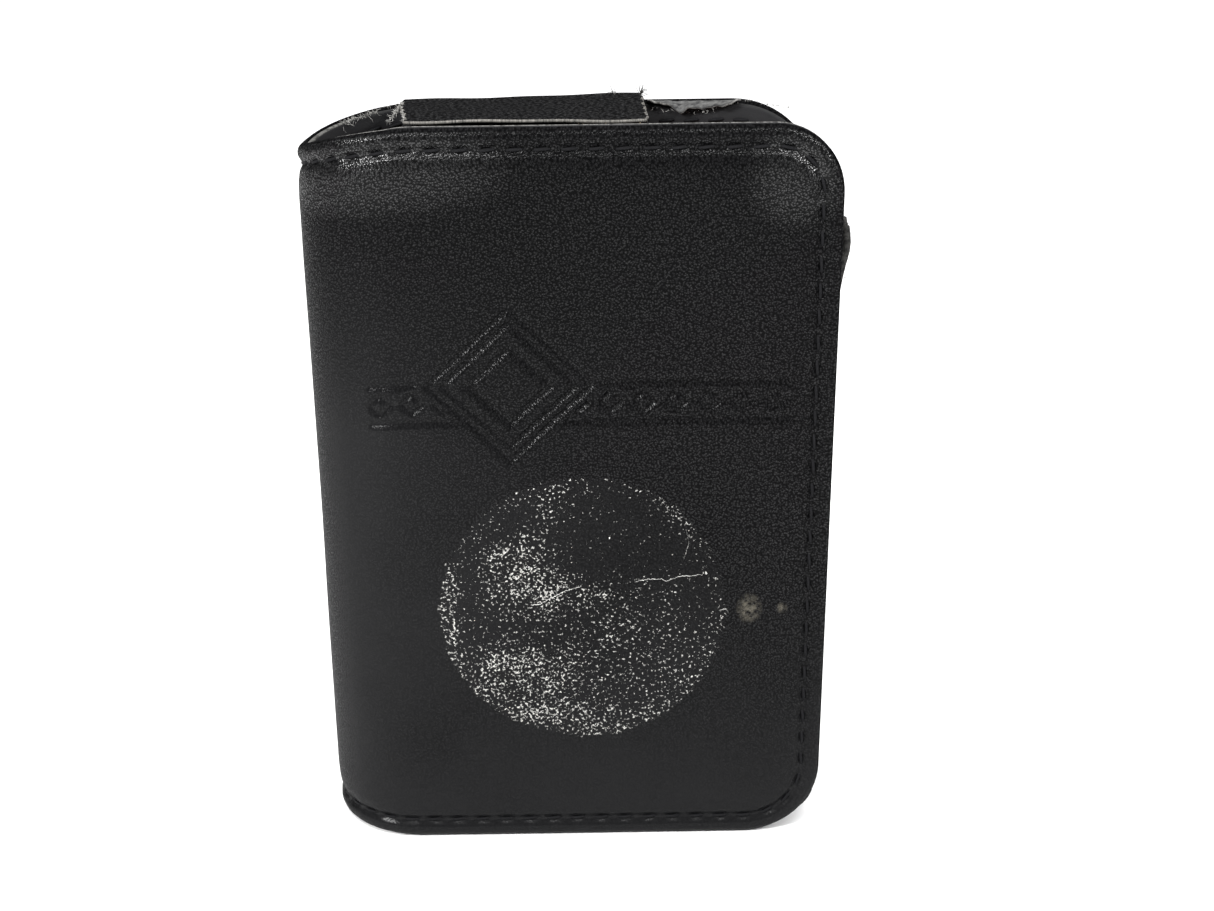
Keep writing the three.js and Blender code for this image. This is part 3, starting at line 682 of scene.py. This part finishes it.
FRONT_LEATHER = leather_material("front_leather", marks=True)
PLAIN_LEATHER = leather_material("plain_leather")
EDGE_LEATHER = leather_material("edge_leather", grain=0.3, base=0.004, rough=0.6, coat=0.0)
BODY_LEATHER = leather_material("body_leather", uv=False, grain=0.8)
STRAP_LEATHER = leather_material("strap_leather", grain=2.0, base=0.005, rough=0.6, coat=0.45, size=0.6)
LINING = lining_material("lining")
LINING_LOCAL = lining_material("pouch_lining", uv=False)
THREAD = thread_material("thread")
RAW_EDGE = raw_material("raw_edge", (0.035, 0.034, 0.032), (0.19, 0.186, 0.178))
RAW_EDGE_BACK = raw_material("raw_edge_back", (0.012, 0.012, 0.011), (0.12, 0.118, 0.112), fade=0.13)
RAW_LOCAL = raw_material("raw_edge_local", (0.006, 0.006, 0.006), (0.04, 0.039, 0.037), uv=False)
RAW_FLAP = raw_material("torn_suede", (0.02, 0.02, 0.021), (0.09, 0.09, 0.088), 110.0)
STRAP_EDGE = raw_material("strap_edge", (0.06, 0.059, 0.055), (0.2, 0.19, 0.175), 430.0)
GLUE = raw_material("old_glue", (0.22, 0.22, 0.21), (0.72, 0.71, 0.68), 200.0, uv=False)
FIBRE = raw_material("pale_fibre", (0.12, 0.12, 0.115), (0.45, 0.44, 0.42), uv=False)
DARK_FIBRE = raw_material("dark_fibre", (0.01, 0.01, 0.01), (0.09, 0.088, 0.085), uv=False)
BROWN_FIBRE = raw_material("brown_fibre", (0.05, 0.035, 0.02), (0.34, 0.27, 0.18), uv=False)
TAPE = raw_material("tape_cloth", (0.006, 0.006, 0.006), (0.025, 0.025, 0.025), 400.0, uv=False)
TAPE_EDGE = raw_material("tape_edge", (0.01, 0.01, 0.01), (0.05, 0.05, 0.05), 300.0, uv=False)


# ---- covers ----
def across_fold(piece, cover_body, side):
    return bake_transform(piece)


def groove_floor(_):
    return -0.62 * MM


def lining_floor(s):
    return lining_back(s) - LINING_T + 0.16 * MM


def make_covers():
    halves = (("front", "cover", FRONT, FRONT_LEATHER, 0.36), ("back", "root", BACK, PLAIN_LEATHER, 0.9))
    for name, body, side, leather, step in halves:
        lowered = 0.0 if side == FRONT else 0.5 * MM
        raw = RAW_EDGE if side == FRONT else RAW_EDGE_BACK
        sheet = leather_sheet(f"{name}_leather_half", side, [leather, EDGE_LEATHER], step)
        inside = lining_sheet(f"{name}_lining_half", side, [LINING, raw], 1.4, lowered)
        outer = stitch_row(f"{name}_stitches", side, groove_floor, 1)
        inner = stitch_row(f"{name}_lining_stitches", side, lining_floor, -1)
        for piece, slot in ((sheet, "leather"), (inside, "lining"), (outer, "leather"), (inner, "lining")):
            across_fold(piece, body, side)
        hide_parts(f"{name}_cover_leather")
        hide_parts(f"{name}_cover_lining")
        if side == FRONT:
            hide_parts("spine_leather")
            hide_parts("spine_lining")


make_covers()


# ---- what stands out from the glue of the lost label ----
GLUE_LINES = [
    [(-0.36, 0.05), (-0.3, 0.055), (-0.22, 0.1), (-0.12, 0.155), (-0.01, 0.19)],
    [(0.36, 0.215), (0.45, 0.235), (0.55, 0.235), (0.58, 0.215), (0.66, 0.25), (0.82, 0.262)],
    [(0.715, 0.6), (0.735, 0.5), (0.71, 0.42), (0.7, 0.38)],
    [(0.95, -0.01), (1.0, 0.0), (1.02, -0.03)],
]
CRUMBS = 420


def on_label(x, y, lift):
    """A point on the cover, x and y in label radii from the label's middle, lift in mm."""
    s, z = RESIDUE_S + x * RESIDUE_R, RESIDUE_Z + y * RESIDUE_R
    return wrap(s, z, 0.22 * MM + ripple(s, z) + lift * MM, FRONT)


def glue_density(x, y):
    if hypot(x, y) > 0.99:
        return 0

    def away(centre, size):
        return hypot((x - centre[0]) / size[0], (y - centre[1]) / size[1])

    if any(away(centre, size) < 0.95 for centre, size in BARE_SPOTS):
        return 0.02
    return sum(weight * max(0, 1.2 - away(centre, size)) for centre, size, weight in GLUE_SPOTS)


def make_glue():
    points, faces = [], []
    for line in GLUE_LINES:
        ts = np.linspace(0, len(line) - 1, 14 * (len(line) - 1))
        rings = []
        for t in ts:
            x, y = read_along(line, range(len(line)), t)
            y += random.uniform(-0.004, 0.004)
            thick = random.uniform(0.002, 0.0065) * min(1, 3 * min(t, len(line) - 1 - t) + 0.3)
            ridge = ((y - thick, -0.05), (y, 0.09), (y + thick, -0.05))
            rings.append([on_label(x, side_y, lift) for side_y, lift in ridge])
        add_tube(points, faces, rings)
    placed = 0
    while placed < CRUMBS:
        x, y = random.uniform(-1, 1), random.uniform(-1, 1)
        if random.random() * 0.12 > glue_density(x, y):
            continue
        placed += 1
        size, squeeze = random.uniform(0.004, 0.011), random.uniform(0.3, 0.8)
        turn = random.uniform(0, pi)
        size *= 1.8 if random.random() < 0.06 else 1
        first = len(points)
        points += [on_label(x, y, 0.08), on_label(x, y, -0.08)]
        for k in range(6):
            angle, reach = 2 * pi * k / 6, size * random.uniform(0.6, 1.2)
            u, v = reach * cos(angle), squeeze * reach * sin(angle)
            points.append(on_label(x + u * cos(turn) - v * sin(turn),
                                   y + u * sin(turn) + v * cos(turn), -0.01))
        for k in range(6):
            a, b = first + 2 + k, first + 2 + (k + 1) % 6
            faces += [(first, a, b), (first + 1, b, a)]
    glue = tidy_mesh(new_mesh("label_glue", points, faces, [GLUE]), 1e-9)
    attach(glue, "cover")


make_glue()


# ---- flat pieces bent to shape: a grid of middle points given a thickness ----
def slab(name, grid, thickness, materials, closed=False, ease=0.6):
    """A sheet with two faces and a rounded raw rim. grid is rows of middle points in mm; a closed
    sheet's rows run round to their start. materials are for the outer face, inner face and rim."""
    grid = np.asarray(grid, float) * MM
    rows, columns = grid.shape[:2]
    half = np.broadcast_to(np.asarray(thickness, float) * MM / 2, (rows, columns)).copy()
    across = np.roll(grid, -1, 1) - np.roll(grid, 1, 1) if closed else np.gradient(grid, axis=1)
    normal = np.cross(np.gradient(grid, axis=0), across)
    normal /= np.linalg.norm(normal, axis=2, keepdims=True)
    last, end = rows - 1, columns - 1
    first_row, last_row = ([(i, j) for j in range(columns)] for i in (0, last))
    loops = [first_row, last_row]
    if not closed:
        right, left = ([(i, j) for i in range(1, last)] for j in (end, 0))
        loops = [first_row + right + last_row[::-1] + left[::-1]]
    full = half.copy()
    for loop in loops:
        for i, j in loop:
            half[i, j] *= ease
    lifted = normal * half[:, :, None]
    points = list((grid + lifted).reshape(-1, 3)) + list((grid - lifted).reshape(-1, 3))
    shift = rows * columns
    outer = grid_faces(rows, columns, close_columns=closed)
    faces = outer + [tuple(shift + k for k in reversed(f)) for f in outer]
    slots = [0] * len(outer) + [1] * len(outer)
    rim_at = []
    for loop in loops:
        middle = []
        for i, j in loop:
            inner_i = min(max(i, 1), last - 1)
            inner_j = j if closed else min(max(j, 1), columns - 2)
            away = grid[i, j] - grid[inner_i, inner_j]
            away /= max(np.linalg.norm(away), 1e-9)
            rim_at.append(i * columns + j)
            middle.append(len(points))
            points.append(grid[i, j] + away * full[i, j] * 0.35)
        for k in range(len(loop)):
            m = (k + 1) % len(loop)
            a, b = (i * columns + j for i, j in (loop[k], loop[m]))
            faces += [(a, b, middle[m], middle[k]), (shift + a, middle[k], middle[m], shift + b)]
            slots += [2, 2]
    along = np.array([lengths(line) for line in grid])
    down = np.array([lengths(line) for line in grid.transpose(1, 0, 2)]).T
    flat = np.stack([along, down], -1).reshape(-1, 2) / UNIT
    uv = np.concatenate([flat, flat, flat[rim_at]])
    return tidy_mesh(new_mesh(name, points, faces, materials, slots, uv), 1e-9)


def strands(name, roots, material, length, radius, spread=0.5, curl=0.5):
    """Frayed threads and fibres in mm: roots are (point, way) pairs; each strand bends as it goes."""
    points, faces = [], []
    steps = 4
    for point, way in roots:
        place, heading = np.array(point, float), np.array(way, float)
        heading += np.array([random.gauss(0, spread) for _ in range(3)])
        reach = length * random.uniform(0.5, 1.3)
        rings = []
        for i in range(steps + 1):
            heading /= np.linalg.norm(heading)
            side = np.cross(heading, (0.3, 0.5, 0.8))
            side /= np.linalg.norm(side)
            up = np.cross(heading, side)
            thick = radius * (1 - 0.7 * i / steps)
            round_it = [side * cos(angle) + up * sin(angle) for angle in (0, 2.1, 4.2)]
            rings.append([(place + thick * way_out) * MM for way_out in round_it])
            place = place + heading * reach / steps
            heading = heading + np.array([random.gauss(0, curl) for _ in range(3)])
        add_tube(points, faces, rings)
    return tidy_mesh(new_mesh(name, points, faces, [material]), 1e-9)


def along_line(points, count, way):
    """count roots spread unevenly along a line of points in mm."""
    reach = lengths(points)
    spots = sorted(random.uniform(0, reach[-1]) for _ in range(count))
    return [(place, way) for place in read_along(points, reach, spots)]


def mm_box(node):
    """A node's lowest and highest corner, in mm."""
    a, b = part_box(node)
    return a / MM, b / MM


def stations(*spans):
    """Places along a line: (from, to, steps) spans joined end to end."""
    out = [spans[0][0]]
    for a, b, n in spans:
        out += list(np.linspace(a, b, n + 1)[1:])
    return np.array(out)


def finer_ends(low, high, end, at_ends, between):
    """Places from low to high, closer together within end of either."""
    return stations((low, low + end, at_ends), (low + end, high - end, between), (high - end, high, at_ends))


def bent_path(corners, radius, step):
    """A polyline in a plane with its corners rounded, as evenly spaced points."""
    corners = [np.array(c, float) for c in corners]
    out = [corners[0]]
    for before, here, after in zip(corners, corners[1:], corners[2:]):
        a = here + (before - here) / np.linalg.norm(before - here) * radius
        b = here + (after - here) / np.linalg.norm(after - here) * radius
        t = np.linspace(0, 1, 7)[:, None]
        out += list((1 - t) ** 2 * a + 2 * t * (1 - t) * here + t * t * b)
    out.append(corners[-1])
    reach = lengths(out)
    return read_along(out, reach, np.linspace(0, reach[-1], max(int(reach[-1] / step), 4)))


# ---- the strap: from inside the back cover, over its top edge and forward to the catch ----
STRAP_TAPER = 2.0


def make_strap():
    low, high = mm_box("top_strap")
    root_low, root_high = mm_box("strap_root")
    level = (low.z + high.z) / 2 + 0.05
    inside = (root_low.y + root_high.y) / 2
    path = bent_path([
        (inside, root_low.z + 0.4), (inside, level - 1.5), (inside + 0.95, level - 0.35),
        (inside + 0.4, level + 0.22), (inside - 1.6, level + 0.05), (low.y, level - 0.05),
    ], 0.45, 0.42)
    widths = finer_ends(low.x, high.x, 1.0, 5, 72)
    rows, thick = [], []
    for y, z in path:
        row = []
        out = smooth(z, level - 2.2, level - 0.6)
        body = 0.46 + 0.5 * out * smooth(y, low.y + 0.5, low.y + 6)
        for x in widths:
            share = (x - low.x) / (high.x - low.x)
            taper = STRAP_TAPER * smooth(y, high.y, low.y) * (1 - share)
            fray = 0.16 * sin(1.7 * y + 3 * share) + 0.1 * sin(4.3 * y)
            pull = fray * (1 - 2 * share) * (abs(2 * share - 1) ** 6) * out
            sag = 0.07 * sin(x / 4.1 + 0.6) * sin(y / 5.0) + 0.05 * sin(x / 1.9 + y / 2.3)
            lift = (0.7 * share - 0.6) * smooth(y, -8, 9) + 0.1 * smooth(y, low.y + 5, low.y)
            row.append((x + pull + taper, y + 0.05 * sin(x / 2.3) * out, z + (sag + lift) * out))
        rows.append(row)
        thick.append([body] * len(widths))
    strap = slab("strap", rows, thick, [STRAP_LEATHER, LINING, STRAP_EDGE], ease=0.8)
    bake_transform(strap)
    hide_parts("top_strap", "strap_root")
    ends = []
    for x, front_x, way in ((low.x, low.x + STRAP_TAPER, -1), (high.x, high.x, 1)):
        side = [(x, high.y - 0.6, level - 0.2), (front_x, low.y, level)]
        ends += along_line(side, 110, (way * 0.4, 0, 0.5))
    tuft = [((high.x - 0.1, high.y - 0.3, level + 0.5), (0.5, 0.2, 0.9))] * 16
    tuft += [((high.x - 3.4, high.y - 0.5, level + 0.5), (-0.2, 0.3, 0.9))] * 8
    frayed = strands("strap_fray", ends, FIBRE, 0.4, 0.035)
    tufts = strands("strap_tufts", tuft, DARK_FIBRE, 1.5, 0.07, 0.35, 0.6)
    for piece in (frayed, tufts):
        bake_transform(piece)
    return low, high, level


PILE_STEP = 0.42


def make_tapes():
    """Hook tape under the strap and loop tape on the catch."""
    tapes = (("strap_hook_tape", "strap", -1, 0.25), ("catch_loop_tape", "root", 1, 0.9))
    for node, body, way, spread in tapes:
        low, high = mm_box(node)
        xs = stations((low.x + 0.1, high.x - 0.1, 80))
        ys = stations((low.y + 0.1, high.y - 0.1, 22))
        middle, gap = (low.z + high.z) / 2, 0.16
        rows = [[(x + 0.05 * sin(5 * y), y, middle - way * gap) for x in xs] for y in ys]
        tape = slab(node + "_cloth", rows, 0.4, [TAPE, TAPE, TAPE_EDGE])
        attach(tape, body)
        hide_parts(node)
        roots = []
        face = middle - way * gap + way * 0.2
        for y in np.arange(low.y + 0.5, high.y - 0.3, PILE_STEP):
            for x in np.arange(low.x + 0.5, high.x - 0.3, PILE_STEP):
                place = (x + random.uniform(-0.12, 0.12), y + random.uniform(-0.12, 0.12), face)
                roots.append((place, (0, 0, way)))
        pile = strands(node + "_pile", roots, TAPE, 0.3, 0.05, spread, 0.5)
        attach(pile, body)


def make_catch():
    low, high = mm_box("catch_tab")
    ledge = high.z - 0.45
    front = low.y + 0.5
    path = bent_path([(front, low.z + 0.1), (front, ledge), (high.y, ledge)], 0.9, 0.4)
    xs = finer_ends(low.x, high.x, 0.8, 3, 40)
    rows = [[(x, y, z + 0.04 * sin(x / 2.2)) for x in xs] for y, z in path]
    tab = slab("catch_tab_leather", rows, 0.85, [BODY_LEATHER, BODY_LEATHER, RAW_LOCAL], ease=0.75)
    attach(tab, "root")
    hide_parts("catch_tab")


def make_pouch():
    """The wall round the radio: a U of leather, its right arm flared and frayed at the top."""
    low, high = mm_box("pouch_side_wall")
    wall, corner, right_side = 1.2, 5.0, 33.0
    top_left, top_right, flare_foot = high.z, 85.6, 62.0
    left, right, bottom = low.x + wall / 2, right_side - wall / 2, low.z + wall / 2
    path = [(left, z) for z in stations((top_left, bottom + corner, 46))]
    turn = np.linspace(0, pi / 2, 9)[1:]
    path += [(left + corner - corner * cos(a), bottom + corner - corner * sin(a)) for a in turn]
    path += [(x, bottom) for x in stations((left + corner, right - corner, 30))[1:]]
    path += [(right - corner + corner * sin(a), bottom + corner - corner * cos(a)) for a in turn]
    for z in stations((bottom + corner, flare_foot, 28), (flare_foot, top_right, 22))[1:]:
        flare = curve(np.array(z), [(flare_foot, 0), (74, 0.5), (80, 1.35), (83, 1.95), (top_right, 1.75)])
        path.append((right + float(flare) * (z > flare_foot), z))
    depths = finer_ends(low.y, high.y, 1.0, 3, 20)
    rows = []
    for k, (x, z) in enumerate(path):
        row = []
        top = smooth(z, 78, 86) * (k > len(path) / 2)
        for y in depths:
            tear = top * (0.35 * sin(y * 1.1 + 1) + 0.22 * sin(y * 2.9))
            bow = 0.1 * sin(z / 9) * sin((y - low.y) / (high.y - low.y) * pi)
            row.append((x + bow, y, z + tear))
        rows.append(row)
    sides = [LINING_LOCAL, BODY_LEATHER, RAW_LOCAL]
    pouch = slab("pouch_wall_leather", rows, 1.1, sides, ease=0.8)
    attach(pouch, "root")
    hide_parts("pouch_side_wall")
    x_top = path[-1][0]
    roots = along_line([(x_top, low.y, top_right), (x_top, high.y, top_right)], 110, (0.1, -0.1, 0.8))
    roots += along_line([(x_top, low.y, top_right), (x_top, low.y, 76)], 14, (0.3, -0.4, 0.3))
    fray = strands("pouch_fray", roots, DARK_FIBRE, 0.6, 0.045)
    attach(fray, "root")


def rounded_loop(x0, x1, z0, z1, r, per_side, per_corner):
    """Points round a rounded rectangle, from the middle of its top edge, clockwise."""
    start = ((x0 + x1) / 2, z1)
    out = list(np.linspace(start, (x1 - r, z1), per_side))
    right, left, top, bottom = x1 - r, x0 + r, z1 - r, z0 + r
    for quarter, (x, z) in enumerate(((right, top), (right, bottom), (left, bottom), (left, top))):
        turn = (quarter + np.linspace(0, 1, per_corner + 1)) * pi / 2
        corner = np.stack([x + r * np.sin(turn), z + r * np.cos(turn)], -1)
        if quarter:
            out += list(np.linspace(out[-1], corner[0], 2 * per_side)[1:])
        out += list(corner[1:])
    out += list(np.linspace(out[-1], start, per_side)[1:-1])
    return np.array(out)


def make_front_frame():
    """The pouch's front: a leather frame round the window, rolled and sewn along both edges."""
    low, high = mm_box("pouch_front_frame")
    window = (-19.5, 25.3, 14.0, 82.0, 4.0)  # left, right, bottom, top and corner radius
    outer = rounded_loop(low.x, high.x, low.z, high.z, 5, 40, 10)
    inner = rounded_loop(*window, 40, 10)
    shares = stations((0, 0.3, 12), (0.3, 0.7, 8), (0.7, 1, 12))
    middle = (low.y + high.y) / 2
    magnet_low, magnet_high = mm_box("frame_magnet")
    magnet = ((magnet_low.x + magnet_high.x) / 2, (magnet_low.z + magnet_high.z) / 2)
    grid = []
    for share in shares:
        line = outer * (1 - share) + inner * share
        swell = 0.16 * (bell(share, 0.09, 0.06) + bell(share, 0.91, 0.06))
        dent = 0.18 * (bell(share, 0.2, 0.04) + bell(share, 0.8, 0.04))
        boss = 0.22 * np.exp(-((np.linalg.norm(line - magnet, axis=1) / 4.0) ** 4))
        wave = 0.05 * np.sin(line[:, 0] / 5.1 + 1) * np.sin(line[:, 1] / 7.7)
        y = middle - swell + dent + wave - boss
        grid.append(np.stack([line[:, 0], y, line[:, 1]], -1))
    piece = slab("pouch_frame_leather", grid, 0.8, [BODY_LEATHER, LINING_LOCAL, RAW_LOCAL], True, 0.7)
    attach(piece, "root")
    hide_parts("pouch_front_frame", "frame_magnet")
    for share in (0.2, 0.8):
        line = outer * (1 - share) + inner * share
        thread = seam_loops(f"frame_stitches_{int(share * 10)}", line, middle - 0.42)
        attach(thread, "root")


def seam_loops(name, line, y, pitch=3.3):
    """Sewn thread round a closed line in the XZ plane, in mm."""
    line = np.vstack([line, line[:1]])
    reach = lengths(line)
    count = round(reach[-1] / pitch)
    step = reach[-1] / count
    points, faces = [], []
    for k in range(count):

        def place(t, out, up):
            at = ((k + 0.5) * step + t * 0.42 * step) % reach[-1]
            here, ahead = read_along(line, reach, [at, (at + 0.2) % reach[-1]])
            way = (ahead - here) / max(np.linalg.norm(ahead - here), 1e-9)
            lift = 0.12 * (1 - t * t) - 0.3 * abs(t) ** 5
            return (here[0] - way[1] * out) * MM, (y - lift - 0.8 * up) * MM, (here[1] + way[0] * out) * MM

        add_stitch(points, faces, 0.24, place)
    return tidy_mesh(new_mesh(name, points, faces, [THREAD]), 1e-9)


def make_torn_edges(strap_low, strap_high, level):
    """The torn lining at the back cover's top right, the frayed edge left of the strap, and the
    brown fibres under the strap's front edge."""
    xs = stations((strap_high.x + 0.9, strap_high.x + 13.2, 40))
    rows = []
    # how low the torn flap hangs: x and z
    hang = [(9.9, 98.9), (11.2, 98.7), (12.6, 98.15), (13.7, 97.6), (14.4, 97.05), (15.1, 97.7),
            (16.4, 97.75), (18.4, 97.75), (20.2, 98.15), (22.3, 98.85)]
    high = 98.4
    for t in stations((0, 1, 14)):
        row = []
        for x in xs:
            low = float(np.interp(x, *zip(*hang))) + 0.06 * sin(5 * x)
            z = high + (low - high) * t
            y = 10.9 - 2.1 * sin(t * 1.5) - 0.25 * sin(x * 1.3)
            row.append((x, y, z + 0.1 * sin(x * 2.1) * t))
        rows.append(row)
    flap = slab("torn_lining", rows, 0.35, [RAW_FLAP, LINING, RAW_EDGE])
    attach(flap, "root")
    below = [(10.5, 9.4, 97.9), (14.4, 9.3, 97.2), (18, 9.3, 97.4), (22.0, 9.6, 98.6)]
    roots = along_line(below, 26, (0.1, -0.3, -0.7))
    roots += along_line([(23, 10.6, 98.5), (29.5, 10.6, 97.3)], 30, (0.1, -0.5, 0.5))
    left = [(-26.5, 9.8, 97.4), (-24.5, 9.6, 98.2), (-22.6, 9.3, 98.6), (-22.6, 3, 98.4), (-22.8, -4, 98.2)]
    roots += along_line(left, 90, (-0.3, -0.4, 0.1))
    torn = strands("torn_fibres", roots, FIBRE, 0.7, 0.045, 0.6, 0.6)
    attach(torn, "root")
    inside = [(-30.2, 7.6, 96.0), (-28.4, 8.6, 96.7), (-26.0, 9.6, 97.5)]
    curls = strands("spine_fibres", along_line(inside, 42, (0.2, -0.5, 0.6)), FIBRE, 1.5, 0.04, 0.7, 0.8)
    across_fold(curls, "root", BACK)
    front = [(-1.5, strap_low.y + 0.1, level - 1.1), (strap_high.x - 0.2, strap_low.y + 0.1, level - 1.0)]
    roots = along_line(front, 420, (0.6, -0.5, 0.1))
    brown = strands("brown_fibres", roots, BROWN_FIBRE, 0.9, 0.07, 0.6, 0.6)
    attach(brown, "root")


strap_place = make_strap()
make_tapes()
make_catch()
make_pouch()
make_front_frame()
make_torn_edges(*strap_place)


# ---- the hard parts of the frame: softened edges and a finish for each slot ----
def plastic(name, base, rough, mottle=0.25, coat=0.0):
    shader = Shader(name)
    darker = tuple(c * (1 - mottle) for c in base)
    lighter = tuple(min(c * (1 + mottle), 1) for c in base)
    scuff = shader.noise(60.0, 5.0, 0.7)
    return shader.finish(
        Base_Color=shader.mix(shader.noise(9.0, 4.0), darker, lighter), Coat_Weight=coat,
        Roughness=scuff.span(0.3, 0.7, rough - 0.06, rough + 0.1),
        Normal=shader.bump(scuff, 0.02 * MM, 0.35),
    )


def metal(name, base, rough, brushed=200.0):
    shader = Shader(name)
    grain = shader.noise(brushed, 3.0, place=shader.scaled(shader.place, (1, 1, 14)))
    darker = tuple(0.8 * c for c in base)
    return shader.finish(
        Base_Color=shader.mix(shader.noise(12.0, 3.0), darker, base), Metallic=1.0,
        Roughness=grain.span(0.3, 0.7, rough, rough + 0.15), Normal=shader.bump(grain, 0.01 * MM, 0.3),
    )


def clear(name):
    shader = Shader(name)
    scuff = shader.noise(40.0, 4.0)
    return shader.finish(Base_Color=(0.9, 0.92, 0.9, 1), Transmission_Weight=1.0, IOR=1.45,
                         Roughness=scuff.span(0.4, 0.8, 0.04, 0.16))


FINISHES = {
    "board": raw_material("grey_board", (0.18, 0.14, 0.1), (0.34, 0.28, 0.2), 120.0, uv=False),
    "magnet": metal("plated_magnet", (0.55, 0.56, 0.58), 0.3),
    "case_plastic": plastic("oxblood_plastic", (0.095, 0.011, 0.01), 0.28, 0.3, 0.15),
    "cream_plastic": plastic("cream_plastic", (0.55, 0.45, 0.3), 0.3, 0.1, 0.2),
    "dark_plastic": plastic("dark_plastic", (0.02, 0.018, 0.017), 0.42, 0.3),
    "clear_plastic": clear("clear_acrylic"),
    "grille_metal": metal("gold_grille", (0.6, 0.42, 0.17), 0.34),
    "steel": metal("plated_steel", (0.6, 0.61, 0.62), 0.28),
    "circuit": plastic("phenolic_board", (0.24, 0.12, 0.035), 0.5, 0.2),
    "ferrite": plastic("ferrite", (0.035, 0.034, 0.036), 0.6, 0.2),
    "copper": metal("enamelled_copper", (0.62, 0.26, 0.12), 0.35, 500.0),
    "paper": raw_material("cone_paper", (0.012, 0.012, 0.012), (0.05, 0.048, 0.045), 150.0, uv=False),
    "cell": plastic("cell_jacket", (0.05, 0.09, 0.2), 0.35, 0.15),
}


def finish_hard_parts():
    slots = {part["node"]: part["material_slot"] for part in frame["record"]["subparts"]}
    for name, piece in frame["nodes"].items():
        if piece.hide_render:
            continue
        piece.data.materials.clear()
        piece.data.materials.append(FINISHES[slots[name]])
        bevel = piece.modifiers.new("soft_edges", "BEVEL")
        bevel.width = 0.12 * MM
        bevel.segments = 2
        bevel.limit_method = "ANGLE"
        bevel.angle_limit = radians(38)


finish_hard_parts()


# ---- floor, light and camera ----
def plain_world(brightness):
    world = bpy.data.worlds.new("studio")
    bpy.context.scene.world = world
    world.use_nodes = True
    background = world.node_tree.nodes["Background"]
    background.inputs["Color"].default_value = (1, 1, 1, 1)
    background.inputs["Strength"].default_value = brightness


def floor():
    shader = Shader("pale_floor")
    color = shader.mix(shader.noise(0.6, 2.0), (0.86, 0.86, 0.86), (0.9, 0.9, 0.9))
    material = shader.finish(Base_Color=color, Roughness=0.7)
    half = 3.0
    corners = [(-half, -half, 0), (half, -half, 0), (half, half, 0), (-half, half, 0)]
    piece = new_mesh("floor", corners, [(0, 1, 2, 3)], [material])
    piece.location.z = CAD_LOW.z - 0.1 * MM


def softbox(name, place, target, size, power):
    light = bpy.data.lights.new(name, "AREA")
    light.shape = "RECTANGLE"
    light.size, light.size_y = size
    light.energy = power
    lamp = bpy.data.objects.new(name, light)
    lamp.location = place
    lamp.rotation_euler = (Vector(target) - Vector(place)).to_track_quat("-Z", "Y").to_euler()
    bpy.context.scene.collection.objects.link(lamp)


CAMERA_PLACE = Vector((0.33, -208.0, 128.6)) * MM
CAMERA_PITCH, CAMERA_YAW, CAMERA_ROLL = radians(20.17), radians(-1.07), radians(-0.28)
FOCAL_PER_WIDTH = 1620 / 1214


def camera():
    data = bpy.data.cameras.new("camera")
    data.sensor_width = 36
    data.lens = 36 * FOCAL_PER_WIDTH
    data.clip_start, data.clip_end = 0.01, 20
    lens = bpy.data.objects.new("camera", data)
    bpy.context.scene.collection.objects.link(lens)
    turned = Matrix.Rotation(CAMERA_YAW, 4, "Z") @ Matrix.Rotation(pi / 2 - CAMERA_PITCH, 4, "X")
    lens.matrix_world = Matrix.Translation(CAMERA_PLACE) @ turned @ Matrix.Rotation(CAMERA_ROLL, 4, "Z")
    bpy.context.scene.camera = lens


plain_world(0.2)
floor()
softbox("overhead", (0, 0.85, 1.5), (0, 0.85, 0), (3.4, 2.2), 62)
softbox("above_camera", (0.0, -0.45, 0.66), (0, 0, 0.07), (0.34, 0.14), 3.0)
softbox("left_window", (-0.40, -0.38, 0.40), (0, 0, 0.08), (0.16, 0.12), 5.2)
softbox("right_window", (0.42, -0.34, 0.42), (0, 0, 0.08), (0.12, 0.12), 3.2)
camera()
bpy.context.scene.view_settings.view_transform = "Standard"
